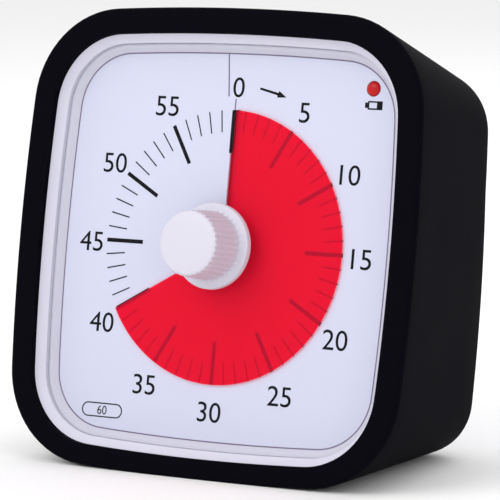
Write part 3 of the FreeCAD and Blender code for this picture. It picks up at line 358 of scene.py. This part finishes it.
def pick(piece: bpy.types.Object) -> None:
    """Selects one object alone and makes it active."""
    deselect()
    piece.select_set(True)
    bpy.context.view_layer.objects.active = piece


def added(name: str) -> bpy.types.Object:
    """Names the object that an operator has just added."""
    piece = bpy.context.object
    piece.name = name
    piece.data.name = name
    return piece


def join(name: str, parts: list[bpy.types.Object]) -> bpy.types.Object:
    """Joins parts into one object.

    Args:
        name: The joined piece's name.
        parts: The parts, the first of which stays.

    Returns:
        The joined piece.
    """
    deselect()
    for part in parts:
        part.select_set(True)
    bpy.context.view_layer.objects.active = parts[0]
    if len(parts) > 1:
        bpy.ops.object.join()
    return added(name)


def apply(piece: bpy.types.Object, kind: str, **settings: Any) -> None:
    """Adds a modifier to a piece and applies it."""
    pick(piece)
    modifier = piece.modifiers.new(kind.title(), kind)
    for name, setting in settings.items():
        setattr(modifier, name, setting)
    bpy.ops.object.modifier_apply(modifier=modifier.name)


def outward(piece: bpy.types.Object) -> None:
    """Merges doubled points and turns all faces outwards."""
    pick(piece)
    bpy.ops.object.mode_set(mode="EDIT")
    bpy.ops.mesh.select_all(action="SELECT")
    bpy.ops.mesh.remove_doubles(threshold=MERGE_GAP)
    bpy.ops.mesh.normals_make_consistent(inside=False)
    bpy.ops.object.mode_set(mode="OBJECT")


def smooth(piece: bpy.types.Object, degrees: float) -> None:
    """Shades a piece smooth up to an angle between faces."""
    pick(piece)
    bpy.ops.object.shade_smooth_by_angle(angle=math.radians(degrees))


def dress(piece: bpy.types.Object, paint: Paint) -> None:
    """Gives a piece its finish."""
    piece.data.materials.clear()
    piece.data.materials.append(paint.material())


def turned(name: str, profile: list[Point], steps: int) -> bpy.types.Object:
    """Turns a profile about the z axis, as on a lathe.

    Args:
        name: The piece's name.
        profile: Radius and height of each corner, from axis to axis.
        steps: Number of steps round the turn.

    Returns:
        The turned piece.
    """
    deselect()
    bpy.ops.mesh.primitive_plane_add(size=1)
    piece = added(name)
    bpy.ops.object.mode_set(mode="EDIT")
    bpy.ops.mesh.select_all(action="SELECT")
    bpy.ops.mesh.merge(type="CENTER")
    first = Vector((profile[0][0], 0, profile[0][1]))
    bpy.ops.transform.translate(value=first)
    for (radius, height), (next_radius, next_height) in zip(profile, profile[1:]):
        step = (next_radius - radius, 0, next_height - height)
        bpy.ops.mesh.extrude_vertices_move(TRANSFORM_OT_translate={"value": step})
    bpy.ops.mesh.select_all(action="SELECT")
    bpy.ops.mesh.spin(steps=steps, angle=FULL_TURN, center=(0, 0, 0), axis=(0, 0, 1))
    bpy.ops.object.mode_set(mode="OBJECT")
    outward(piece)
    return piece


def inked(piece: bpy.types.Object, thick: float) -> bpy.types.Object:
    """Gives a flat print its thickness, upwards from where it lies."""
    pick(piece)
    bpy.ops.object.mode_set(mode="EDIT")
    bpy.ops.mesh.select_all(action="SELECT")
    bpy.ops.mesh.extrude_region_move(TRANSFORM_OT_translate={"value": (0, 0, thick)})
    bpy.ops.mesh.select_all(action="SELECT")
    bpy.ops.mesh.normals_make_consistent(inside=False)
    bpy.ops.object.mode_set(mode="OBJECT")
    return piece


@dataclass(frozen=True)
class Ring:
    """One turn of a shell round the case: its depth and how far inside the outline."""

    depth: float
    inset: float


@dataclass(frozen=True)
class Outline:
    """Rounded square with gently bowed sides that the case and sleeve share."""

    half_wide: float
    half_tall: float
    half_low: float
    corner: float = 19.0
    bow: float = 460.0
    side_steps: int = 14
    corner_steps: int = 16

    @property
    def count(self) -> int:
        """Number of points round the outline."""
        return 4 * (self.side_steps + self.corner_steps)

    def point(self, number: int, inset: float) -> Point:
        """One point of the outline, some way inside it.

        Args:
            number: Which point, counted from the middle of the right side.
            inset: How far inside the outline it lies.

        Returns:
            Its place across and up.
        """
        quarter = self.count // 4
        shifted = (number + self.side_steps // 2) % self.count
        part, step = divmod(shifted, quarter)
        half = self.side_steps / 2
        low = part == 3 or (part == 0 and step < half) or (part == 2 and step > half)
        tall = self.half_low if low else self.half_tall
        side, top = self.half_wide - self.bow, tall - self.bow
        span = math.hypot(side, top)
        along = math.sqrt((self.bow - self.corner) ** 2 - (span / 2) ** 2)
        corner_x = side / 2 - along * top / span
        corner_y = top / 2 - along * side / span
        swing = math.atan2(corner_y, corner_x - side)
        lift = math.atan2(corner_x, corner_y - top)
        begin = part * math.pi / 2
        first, last = (swing, lift) if part % 2 == 0 else (lift, swing)
        if step < self.side_steps:
            angle = begin + first * (2 * step / self.side_steps - 1)
            centre = (math.cos(begin) * side, 0) if part % 2 == 0 else (0, math.sin(begin) * top)
            radius = self.bow - inset
        else:
            share = (step - self.side_steps) / self.corner_steps
            angle = begin + first + (math.pi / 2 - first - last) * share
            centre = (corner_x if part in (0, 3) else -corner_x, corner_y if part < 2 else -corner_y)
            radius = self.corner - inset
        return centre[0] + radius * math.cos(angle), centre[1] + radius * math.sin(angle)


CASE_OUTLINE = Outline(43.4, 44.9, 44.9)


def ringed(name: str, rings: list[Ring], place: Callable[[Ring, int], Place], count: int,
           closed: bool) -> bpy.types.Object:
    """Makes a shell of rings round the case.

    Args:
        name: The piece's name.
        rings: Its turns, in order.
        place: Gives the place of one point of a ring.
        count: Number of points of a ring.
        closed: Whether the last ring joins the first.

    Returns:
        The shell.
    """
    turns = rings + rings[:1] if closed else rings
    deselect()
    bpy.ops.mesh.primitive_grid_add(x_subdivisions=count, y_subdivisions=len(turns) - 1, size=2)
    piece = added(name)
    for vertex in piece.data.vertices:
        number = round((vertex.co.x + 1) / 2 * count) % count
        ring = turns[round((vertex.co.y + 1) / 2 * (len(turns) - 1))]
        vertex.co = place(ring, number)
    outward(piece)
    return piece


@dataclass
class Sleeve:
    """Soft sleeve: rounded rim, drafted sides, flat foot and a deeper heel.

    Slopes called draft are in degrees. back_edge and back_bevel are each a reach
    inside the back lip and a distance in front of the back.
    """

    outline: Outline = Outline(44.2, 45.8, 44.9)
    case: Outline = CASE_OUTLINE
    lip: float = 4.3
    lip_thick: float = 1.6
    wall: float = 2.2
    depth: float = 43.0
    back_lip: float = 4.4
    back_lip_thick: float = 1.8
    rim_round: float = 1.3
    edge_round: float = 0.35
    back_round: float = 4.0
    draft: float = 9.6
    side_draft: float = 8.8
    foot_cut: float = 0.35
    heel_top: float = 15.0
    heel_slope: float = 0.1
    lip_edge: float = 0.3
    lip_flare: float = 0.0001
    back_edge: Point = (0.3, 0.0)
    back_bevel: Point = (0.7, 0.4)
    front_gap: float = 0.1
    least_corner: float = 1.0
    round_steps: int = 8

    def heel(self, up: float) -> float:
        """Extra depth of the back at a height on the dial."""
        return max(0.0, self.heel_top - up) * self.heel_slope

    def place(self, ring: Ring, number: int) -> Place:
        """Place of one point of the sleeve.

        Args:
            ring: The turn that it belongs to.
            number: Which point of the turn.

        Returns:
            Its place in dial space.
        """
        plain = self.outline.point(number, 0.0)
        share = max(0.0, ring.depth - self.rim_round) / (self.depth - self.rim_round)
        depth = ring.depth + self.heel(plain[1]) * share
        up_slope = math.tan(math.radians(self.draft))
        side_slope = math.tan(math.radians(self.side_draft))
        inner = ring.inset >= self.lip and ring.depth <= self.lip_thick
        ground = self.case if inner else self.outline
        inset = ring.inset if inner else ring.inset + depth * up_slope
        across, up = ground.point(number, min(inset, ground.corner - self.least_corner))
        if not inner:
            across += depth * (up_slope - side_slope) * across / ground.half_wide
        floor = self.foot_cut - self.outline.half_low + depth * up_slope
        if ring.inset < self.wall:
            up = max(up, floor)
        return across, up, -depth

    def rings(self) -> list[Ring]:
        """The turns of the sleeve's wall, from its front lip round to its inside."""
        turns = [Ring(self.lip_thick, self.lip), Ring(self.edge_round, self.lip),
                 Ring(self.edge_round * self.lip_edge, self.lip + self.edge_round * self.lip_flare)]
        count = self.round_steps
        for step in range(count + 1):
            angle = math.pi / 2 * step / count
            turns.append(Ring(self.rim_round * (1 - math.cos(angle)),
                              self.rim_round * (1 - math.sin(angle))))
        straight_end = self.depth - self.back_round
        for step in range(1, count + 1):
            turns.append(Ring(self.rim_round + (straight_end - self.rim_round) * step / count, 0.0))
        for step in range(1, count + 1):
            angle = math.pi / 2 * step / count
            turns.append(Ring(straight_end + self.back_round * math.sin(angle),
                              self.back_round * (1 - math.cos(angle))))
        inside = self.depth - self.back_lip_thick
        for inset, bevel in (self.back_edge, self.back_bevel):
            turns.append(Ring(self.depth - bevel, self.back_lip + inset))
        turns += [Ring(inside, self.back_lip + self.back_bevel[0]), Ring(inside, self.wall),
                  Ring(self.lip_thick + self.front_gap, self.wall)]
        return turns

    def build(self) -> bpy.types.Object:
        """Makes the sleeve.

        Returns:
            The sleeve.
        """
        piece = ringed("soft_sleeve", self.rings(), self.place, self.outline.count, True)
        smooth(piece, SOFT_ANGLE)
        DIAL.lay(piece)
        dress(piece, Paint.SLEEVE)
        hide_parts("silicone_sleeve")
        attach(piece, "case")
        return piece


@dataclass
class WindowStep:
    """White step under the window's edge, and a dark line of painted shade in the crease at the dial's
    rim.
    """

    outline: Outline = CASE_OUTLINE
    lift: float = 0.03
    outer: float = 6.02
    ledge: float = 6.6
    dial_edge: float = 7.48
    ledge_depth: float = 4.05
    line: float = 0.26

    def place(self, ring: Ring, number: int) -> Place:
        """Place of one point of a strip in dial space."""
        across, up = self.outline.point(number, ring.inset)
        return across, up, -ring.depth

    def strip(self, name: str, rings: list[Ring], paint: Paint) -> bpy.types.Object:
        """Makes one thin strip round the dial."""
        piece = ringed(name, rings, self.place, self.outline.count, False)
        apply(piece, "SOLIDIFY", thickness=self.lift / 2, offset=0)
        smooth(piece, CRISP_ANGLE)
        DIAL.lay(piece)
        dress(piece, paint)
        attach(piece, "case")
        return piece

    def build(self) -> list[bpy.types.Object]:
        """Makes the white step and the painted shade line at the dial's rim.

        Returns:
            The two strips.
        """
        top = self.ledge_depth - self.lift
        foot = DIAL_DEPTH - self.lift
        step = [Ring(top, self.outer), Ring(top, self.ledge), Ring(foot, self.dial_edge)]
        # The second strip is painted shade: a dark line in the crease where the step meets the dial.
        line = [Ring(foot, self.dial_edge), Ring(foot, self.dial_edge + self.line)]
        return [self.strip("window_step", step, Paint.WHITE),
                self.strip("dial_rim_shade_line", line, Paint.SLIT)]


@dataclass
class DialPrint:
    """What is printed on the dial: minute ticks, numbers and small signs."""

    ink: float = 0.02
    lift: float = 0.004
    major_inner: float = 18.15
    minor_inner: float = 22.2
    major_width: float = 0.78
    minor_width: float = 0.25
    number_height: float = 3.85
    number_squeeze: float = 1.04
    number_every: int = 5
    curve_steps: int = 8
    numbers: dict[str, Point] = field(default_factory=lambda: {
        "0": (0.62, 30.83), "5": (15.55, 26.50), "10": (26.51, 15.14), "15": (30.41, -0.54),
        "20": (26.24, -15.94), "25": (15.24, -27.42), "30": (0.06, -31.65), "35": (-15.10, -27.50),
        "40": (-26.06, -16.10), "45": (-30.03, -0.46), "50": (-26.03, 15.11), "55": (-15.14, 26.64)})
    arrow_tail: Point = (5.36, 30.78)
    arrow_neck: Point = (9.4, 29.83)
    arrow_tip: Point = (11.26, 29.25)
    shaft_widths: Point = (0.42, 0.5)
    head_widths: Point = (1.35, 0.02)
    pill_centre: Point = (-24.25, -33.2)
    pill_long: float = 9.3
    pill_tall: float = 2.85
    pill_line: float = 0.24
    pill_steps: int = 48
    pill_figure: float = 0.6
    pill_squeeze: float = 0.95
    cell_left: float = 28.45
    cell_right: float = 32.18
    cell_low: float = 27.63
    cell_high: float = 29.28
    cell_nub: float = 0.6
    cell_nub_share: float = 0.62
    cell_line: float = 0.3
    cell_black: float = 1.2

    @property
    def level(self) -> float:
        """Height at which the ink starts."""
        return self.lift - DIAL_DEPTH

    def bar(self, start: Point, end: Point, width: float,
            end_width: float | None = None) -> bpy.types.Object:
        """A flat printed bar from one point to another.

        Args:
            start: Middle of its first end.
            end: Middle of its last end.
            width: Width at the first end.
            end_width: Width at the last end, the same if not given.

        Returns:
            The flat bar.
        """
        deselect()
        bpy.ops.mesh.primitive_plane_add(size=1)
        piece = added("bar")
        along = Vector(end) - Vector(start)
        aside = Vector((-along.y, along.x)).normalized()
        last = width if end_width is None else end_width
        for vertex in piece.data.vertices:
            far, side = vertex.co.x > 0, 1 if vertex.co.y > 0 else -1
            spot = Vector(end if far else start) + aside * side * (last if far else width) / 2
            vertex.co = (spot.x, spot.y, self.level)
        return piece

    def ticks(self) -> bpy.types.Object:
        """All sixty ticks of the scale as one print."""
        bars = []
        for minute in range(MINUTES):
            angle = FULL_TURN * minute / MINUTES
            major = minute % self.number_every == 0
            inner = self.major_inner if major else self.minor_inner
            width = self.major_width if major else self.minor_width
            ray = Vector((math.sin(angle), math.cos(angle)))
            bars.append(self.bar(tuple(ray * inner), tuple(ray * SCALE_RIM), width))
        return self.print_of("minute_ticks", bars)

    def text(self, words: str, place: Point, height: float, squeeze: float) -> bpy.types.Object:
        """Flat printed figures centred on a place.

        Args:
            words: The figures.
            place: Their centre on the dial.
            height: Height of a figure.
            squeeze: Width as a share of the plain figure's.

        Returns:
            The flat figures.
        """
        deselect()
        bpy.ops.object.text_add()
        piece = bpy.context.object
        piece.data.body = words
        piece.data.resolution_u = self.curve_steps
        bpy.ops.object.convert(target="MESH")
        piece = added(f"figure_{words}")
        spots = [vertex.co for vertex in piece.data.vertices]
        left, right = min(spot.x for spot in spots), max(spot.x for spot in spots)
        low, high = min(spot.y for spot in spots), max(spot.y for spot in spots)
        scale = height / (high - low)
        for vertex in piece.data.vertices:
            x = (vertex.co.x - (left + right) / 2) * scale * squeeze + place[0]
            y = (vertex.co.y - (low + high) / 2) * scale + place[1]
            vertex.co = (x, y, self.level)
        return piece

    def arrow(self) -> list[bpy.types.Object]:
        """The small arrow that says which way the scale counts."""
        shaft = self.bar(self.arrow_tail, self.arrow_neck, *self.shaft_widths)
        head = self.bar(self.arrow_neck, self.arrow_tip, *self.head_widths)
        return [shaft, head]

    def pill(self) -> list[bpy.types.Object]:
        """The rounded frame at the lower left, with a plain number in it."""
        deselect()
        bpy.ops.mesh.primitive_circle_add(
            vertices=self.pill_steps, radius=self.pill_tall / 2, fill_type="NOTHING")
        piece = added("pill")
        reach = (self.pill_long - self.pill_tall) / 2
        for vertex in piece.data.vertices:
            shift = reach if vertex.co.x > 0 else -reach
            vertex.co.x += shift + self.pill_centre[0]
            vertex.co.y += self.pill_centre[1]
            vertex.co.z = self.level
        bpy.ops.object.mode_set(mode="EDIT")
        bpy.ops.mesh.select_all(action="SELECT")
        bpy.ops.mesh.edge_face_add()
        bpy.ops.mesh.inset(thickness=self.pill_line)
        bpy.ops.mesh.delete(type="ONLY_FACE")
        bpy.ops.object.mode_set(mode="OBJECT")
        figures = self.text(
            str(MINUTES), self.pill_centre, self.pill_tall * self.pill_figure, self.pill_squeeze)
        return [piece, figures]

    def cell_sign(self) -> list[bpy.types.Object]:
        """The small sign of a pen cell beside the lamp."""
        middle = (self.cell_low + self.cell_high) / 2
        tall = self.cell_high - self.cell_low
        nub = self.cell_left + self.cell_nub
        line = self.cell_line
        black = self.cell_right - self.cell_black
        upper, lower = self.cell_high - line / 2, self.cell_low + line / 2
        return [
            self.bar((self.cell_left, middle), (nub, middle), tall * self.cell_nub_share),
            self.bar((nub, middle), (nub + line, middle), tall),
            self.bar((nub, upper), (self.cell_right, upper), line),
            self.bar((nub, lower), (self.cell_right, lower), line),
            self.bar((black, middle), (self.cell_right, middle), tall),
        ]

    def print_of(self, name: str, flats: list[bpy.types.Object]) -> bpy.types.Object:
        """Joins flat prints, inks them and lays them on the dial."""
        piece = inked(join(name, flats), self.ink)
        DIAL.lay(piece)
        dress(piece, Paint.INK)
        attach(piece, "case")
        return piece

    def build(self) -> list[bpy.types.Object]:
        """Makes every print.

        Returns:
            The printed pieces.
        """
        figures = [self.text(words, place, self.number_height, self.number_squeeze)
                   for words, place in self.numbers.items()]
        return [
            self.ticks(),
            self.print_of("dial_numbers", figures),
            self.print_of("count_arrow", self.arrow()),
            self.print_of("pill_frame", self.pill()),
            self.print_of("cell_sign", self.cell_sign()),
        ]


@dataclass
class SlitLines:
    """Dark lines of painted shadow that run from the film's slit up to the window's edge."""

    upper: tuple[Point, Point] = ((-2.19, 37.3), (-1.44, 29.0))
    lower: tuple[Point, Point] = ((0.2, 28.6), (0.15, SCALE_RIM))
    width: float = 0.28
    ink: float = 0.012

    def build(self) -> bpy.types.Object:
        """Makes the painted shadow lines.

        Returns:
            The painted shadow lines.
        """
        maker = DialPrint(ink=self.ink)
        # Painted shadow: two thin dark bars stand in for the shadow cast by the slit's edge.
        bars = [maker.bar(*self.upper, self.width), maker.bar(*self.lower, self.width)]
        piece = inked(join("slit_shadow_line", bars), maker.ink)
        DIAL.lay(piece)
        dress(piece, Paint.SLIT)
        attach(piece, "case")
        return piece


@dataclass
class SlitBridge:
    """Narrow strip of the dial that closes the slit outside the film's rim."""

    start: Point = (0.675, 26.5)
    end: Point = (0.675, 27.4)
    width: float = 1.8
    lift: float = -0.002
    ink: float = 0.008

    def build(self) -> bpy.types.Object:
        """Makes the strip.

        Returns:
            The strip.
        """
        maker = DialPrint(lift=self.lift, ink=self.ink)
        strip = maker.bar(self.start, self.end, self.width)
        piece = inked(join("slit_bridge", [strip]), maker.ink)
        DIAL.lay(piece)
        dress(piece, Paint.DIAL)
        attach(piece, "case")
        return piece


@dataclass
class RedFilm:
    """Red film: laid over the dial to its edge, through the slit and below."""

    over: float = 4.72
    under: float = 6.2
    rim: float = SCALE_RIM
    eye: float = 4.95
    thick: float = 0.12
    shown_degrees: float = 240.0
    ramp_right: float = 1.45
    ramp_left: float = 0.15
    end_gap_degrees: float = 0.6
    hidden_share: float = 0.3
    ramp_share: float = 0.36
    steps: int = 150
    rings: int = 6

    def spot(self, along: float, across: float) -> tuple[Vector, float]:
        """Place and share of turn of one point of the film.

        Args:
            along: Place along the film: -1 to 0 lies below, 0 to 1 crosses the
                slit and 1 to 3 lies over the dial.
            across: Place from eye to rim, 0 to 1.

        Returns:
            The point, and how much of the film's turn it takes.
        """
        radius = self.eye + (self.rim - self.eye) * across
        hidden = FULL_DEGREES - self.shown_degrees
        if along > 1:
            share = (along - 1) / 2
            start = math.degrees(math.asin(self.ramp_right / radius))
            angle = start + (self.shown_degrees - start) * share
            depth, turn = self.over, 2 * share
        elif along < 0:
            share = -along
            start = math.degrees(math.asin(self.ramp_left / radius))
            angle = -start - (hidden - start - self.end_gap_degrees) * share
            depth, turn = self.under, 2 * share
        else:
            ease = along * along * (3 - 2 * along)
            x = -self.ramp_left + (self.ramp_right + self.ramp_left) * along
            y = math.sqrt(radius ** 2 - x ** 2)
            return Vector((x, y, -self.under + (self.under - self.over) * ease)), 0.0
        ray = math.radians(angle)
        return Vector((radius * math.sin(ray), radius * math.cos(ray), -depth)), turn

    def build(self) -> bpy.types.Object:
        """Makes the film.

        Returns:
            The film.
        """
        deselect()
        bpy.ops.mesh.primitive_grid_add(x_subdivisions=self.steps, y_subdivisions=self.rings, size=2)
        piece = added("red_film")
        hidden_share, ramp_share = self.hidden_share, self.ramp_share
        turns = []
        for vertex in piece.data.vertices:
            place = (vertex.co.x + 1) / 2
            across = (vertex.co.y + 1) / 2
            if place < hidden_share:
                along = -(hidden_share - place) / hidden_share
            elif place < ramp_share:
                along = (place - hidden_share) / (ramp_share - hidden_share)
            else:
                along = 1 + 2 * (place - ramp_share) / (1 - ramp_share)
            vertex.co, turn = self.spot(along, across)
            turns.append(turn)
        shares = piece.data.attributes.new("turn_share", "FLOAT", "POINT")
        shares.data.foreach_set("value", turns)
        apply(piece, "SOLIDIFY", thickness=self.thick, offset=0)
        smooth(piece, CRISP_ANGLE)
        DIAL.lay(piece)
        dress(piece, Paint.FILM)
        low, high = DIAL.point(0, -self.rim, 0), DIAL.point(0, self.rim, 0)
        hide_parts("time_film")
        tuple(low)
        tuple(high)
        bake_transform(piece)
        self.wind(piece)
        return piece

    def wind(self, piece: bpy.types.Object) -> None:
        """Reads each point's share of the film's turn."""
        kept = piece.data.attributes["turn_share"]
        shares = np.empty(len(piece.data.vertices), np.float32)
        kept.data.foreach_get("value", shares)


@dataclass
class Knob:
    """Turned white knob: round flange, fluted grip and a softly domed face.

    The points of its profile are reaches out or in, and drops or rises, from the
    middle of the face, the tip's corner, the base and the flange. Those of the
    tip's corner are shares of the edge.
    """

    front: float = 7.9
    crown: float = 0.3
    tip: float = 6.35
    base: float = 6.75
    foot: float = -0.5
    flange: float = 8.3
    flange_thick: float = 1.4
    sleeve: float = 3.6
    sleeve_end: float = -4.25
    edge: float = 0.75
    flange_edge: float = 0.2
    belly: Point = (0.1, 3.0)
    face_points: tuple[Point, ...] = ((0.0, 0.0), (2.0, 0.02), (4.0, 0.1))
    edge_points: tuple[Point, ...] = ((1.3, -0.08), (0.7, 0.08), (0.28, 0.3), (0.05, 0.75), (0.0, 1.2))
    base_points: tuple[Point, ...] = ((-0.08, 1.2), (0.0, 0.25), (0.2, 0.02))
    flange_points: tuple[Point, ...] = ((0.5, 0.0), (0.15, 0.12), (0.0, 0.42))
    flutes: int = 36
    flute_deep: float = 0.26
    flute_sharp: float = 1.5
    flute_fade: float = 0.7
    grip_start: float = 0.4
    grip_end: float = 0.1
    steps: int = 288

    def build(self) -> bpy.types.Object:
        """Makes the knob.

        Returns:
            The knob.
        """
        back = self.foot - self.flange_thick
        face = self.front + self.crown
        profile = [(out, face - drop) for out, drop in self.face_points]
        profile += [(self.tip - self.edge * inward, self.front - self.edge * drop)
                    for inward, drop in self.edge_points]
        profile.append((self.tip + self.belly[0], self.front - self.belly[1]))
        profile += [(self.base + out, self.foot + rise) for out, rise in self.base_points]
        profile += [(self.flange - inward, self.foot - drop) for inward, drop in self.flange_points]
        profile += [(self.flange, back + self.flange_edge), (self.flange - self.flange_edge, back),
                    (self.sleeve, back), (self.sleeve, self.sleeve_end), (0, self.sleeve_end)]
        piece = turned("fluted_knob", profile, self.steps)
        self.cut_flutes(piece)
        smooth(piece, SOFT_ANGLE)
        DIAL.lay(piece)
        dress(piece, Paint.KNOB)
        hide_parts("setting_knob")
        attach(piece, "dial")
        return piece

    def cut_flutes(self, piece: bpy.types.Object) -> None:
        """Draws the grip in between its ribs, less towards the face."""
        for vertex in piece.data.vertices:
            radius = math.hypot(vertex.co.x, vertex.co.y)
            on_side = self.tip - self.grip_start < radius < self.base + self.grip_end
            if not on_side or vertex.co.z <= self.foot + self.grip_end:
                continue
            angle = math.atan2(vertex.co.y, vertex.co.x)
            wave = 0.5 - 0.5 * math.cos(angle * self.flutes)
            fade = min(1.0, (self.front - vertex.co.z) / self.flute_fade)
            pull = 1 - self.flute_deep * wave ** self.flute_sharp * max(0.0, fade) / radius
            vertex.co.x *= pull
            vertex.co.y *= pull


@dataclass
class Lamp:
    """Small red lamp: a domed lens with a thin collar behind the dial."""

    across: float = 30.0
    up: float = 31.6
    size: float = 1.4
    foot: float = -8.5
    proud: float = 0.5
    sink: float = 0.2
    dome: float = 0.7
    dome_steps: int = 7
    collar_tall: float = 0.8
    collar_out: float = 0.15
    steps: int = 40

    def build(self) -> bpy.types.Object:
        """Makes the lamp's lens.

        Returns:
            The lens.
        """
        profile = [(0, self.proud - DIAL_DEPTH)]
        for step in range(1, self.dome_steps + 1):
            turn = math.pi / 2 * step / self.dome_steps
            profile.append((self.size * math.sin(turn),
                            -DIAL_DEPTH - self.sink + self.dome * math.cos(turn)))
        collar, collar_top = self.size + self.collar_out, self.foot + self.collar_tall
        profile += [(self.size, collar_top), (collar, collar_top), (collar, self.foot), (0, self.foot)]
        piece = turned("lamp_lens", profile, self.steps)
        for vertex in piece.data.vertices:
            vertex.co.x += self.across
            vertex.co.y += self.up
        smooth(piece, SOFT_ANGLE)
        DIAL.lay(piece)
        dress(piece, Paint.LAMP)
        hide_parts("indicator_lamp")
        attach(piece, "case")
        return piece


@dataclass
class Carried:
    """Finishes of the nodes that keep the shape of the frame."""

    paints: dict[str, Paint] = field(default_factory=lambda: {
        "silicone_sleeve": Paint.SLEEVE, "front_case": Paint.WHITE, "rear_case": Paint.WHITE,
        "battery_door": Paint.WHITE, "clear_lens": Paint.WINDOW, "dial_plate": Paint.DIAL,
        "film_hub": Paint.INNER, "spindle": Paint.STEEL, "spindle_bush": Paint.BRASS,
        "centre_wheel": Paint.BRASS, "third_wheel": Paint.GEAR, "second_wheel": Paint.GEAR,
        "rotor": Paint.GEAR, "wheel_pins": Paint.STEEL, "clutch_spring": Paint.STEEL,
        "movement_front_plate": Paint.BLOCK, "movement_back_cover": Paint.BLOCK,
        "movement_screws": Paint.STEEL, "case_screws": Paint.STEEL, "stator_plate": Paint.STEEL,
        "coil_bobbin": Paint.INNER, "coil_winding": Paint.COPPER, "circuit_board": Paint.BOARD,
        "chip_cover": Paint.DARK, "quartz_crystal": Paint.STEEL, "switch_body": Paint.DARK,
        "sound_slider": Paint.DARK, "buzzer": Paint.DARK, "lamp_board": Paint.BOARD,
        "battery_cell": Paint.CELL, "plate_contact": Paint.STEEL, "spring_contact": Paint.STEEL})

    def dress(self) -> None:
        """Gives each node its finish."""
        for node, paint in self.paints.items():
            piece = frame["nodes"][node]
            piece.data.materials.clear()
            piece.data.materials.append(paint.material())
            LOG.info("dressed %s in %s", node, paint.value.name)


@dataclass(frozen=True)
class SoftBox:
    """One soft square light: where it stands, its width and its power in watts."""

    name: str
    place: Place
    size: float
    power: float


@dataclass
class Studio:
    """Pale floor, soft light and the camera at the photograph's angle."""

    pitch: float = 1.79
    yaw: float = 30.72
    roll: float = -3.95
    shift: tuple[float, float, float] = (-5.23, 0.49, 655.62)
    focal_px: float = 3424.35
    frame_px: float = 500.0
    sensor: float = 36.0
    nearest: float = 0.01
    floor_colour: Colour = (0.93, 0.93, 0.93, 1.0)
    floor_size: float = 8.0
    floor_grain: float = 0.01
    floor_rough: float = 0.8
    floor_drift: float = 0.1
    sky_colour: Colour = (1.0, 1.0, 1.0, 1.0)
    sky_power: float = 0.92
    target: Place = (0, 0, 0.04)
    boxes: tuple[SoftBox, ...] = (
        SoftBox("key", (-0.35, -0.85, 0.75), 0.7, 4.7),
        SoftBox("fill", (0.7, -0.7, 0.4), 0.8, 1.6),
        SoftBox("back", (0.1, 0.8, 0.9), 0.8, 3.0))

    def camera(self) -> bpy.types.Object:
        """Adds the camera where the photograph was taken from.

        Returns:
            The camera.
        """
        turn = (Matrix.Rotation(math.radians(self.roll), 3, "Z")
                @ Matrix.Rotation(math.radians(self.yaw), 3, "Y")
                @ Matrix.Rotation(math.radians(self.pitch), 3, "X"))
        eye = -(turn.transposed() @ Vector(self.shift))
        place = DIAL.point(eye.x, eye.y, -eye.z - DIAL_DEPTH)

        def heading(row: Vector) -> Vector:
            """Turns a direction on the dial, z inwards, into the frame's."""
            return (DIAL.right * row.x + DIAL.up * row.y - DIAL.forward * row.z).normalized()

        right, up, ahead = heading(turn[0]), heading(turn[1]), heading(turn[2])
        axes = Matrix((right, up, -ahead)).transposed().to_4x4()
        lens = bpy.data.cameras.new("photo_camera")
        lens.sensor_width = self.sensor
        lens.lens = self.focal_px / self.frame_px * self.sensor
        lens.clip_start = self.nearest
        made = bpy.data.objects.new("photo_camera", lens)
        made.matrix_world = Matrix.Translation(place) @ axes
        bpy.context.scene.collection.objects.link(made)
        bpy.context.scene.camera = made
        return made

    def light(self, box: SoftBox) -> None:
        """Adds one soft square light that faces the timer.

        Args:
            box: The light to add.
        """
        lamp = bpy.data.lights.new(box.name, "AREA")
        lamp.shape = "SQUARE"
        lamp.size = box.size
        lamp.energy = box.power
        made = bpy.data.objects.new(box.name, lamp)
        made.location = box.place
        facing = Vector(self.target) - Vector(box.place)
        made.rotation_euler = facing.to_track_quat("-Z", "Y").to_euler()
        bpy.context.scene.collection.objects.link(made)

    def build(self) -> None:
        """Sets the floor, the lights, the world and the camera."""
        scene = bpy.context.scene
        scene.view_settings.view_transform = "Standard"
        deselect()
        bpy.ops.mesh.primitive_plane_add(size=self.floor_size)
        floor = added("studio_floor")
        graph = Graph("studio paper")
        speckle = graph.noise(self.floor_grain)
        paper = graph.node("ShaderNodeBsdfPrincipled", None, {
            "Base Color": self.floor_colour,
            "Roughness": self.floor_rough + speckle * self.floor_drift})
        floor.data.materials.append(graph.finish(paper.outputs[0]))
        world = bpy.data.worlds.new("studio")
        world.use_nodes = True
        sky = world.node_tree.nodes["Background"]
        sky.inputs[0].default_value = self.sky_colour
        sky.inputs[1].default_value = self.sky_power
        scene.world = world
        for box in self.boxes:
            self.light(box)
        self.camera()


def main() -> None:
    """Builds the dressed timer and reports each piece."""
    logging.basicConfig(level=logging.INFO, format="%(message)s")
    Carried().dress()
    made: list[bpy.types.Object] = [Sleeve().build(), *WindowStep().build()]
    made += DialPrint().build()
    made.append(SlitLines().build())
    made.append(SlitBridge().build())
    made.append(RedFilm().build())
    made.append(Knob().build())
    made.append(Lamp().build())
    Studio().build()
    for piece in made:
        LOG.info("built %s with %d faces", piece.name, len(piece.data.polygons))


if __name__ == "__main__":
    main()
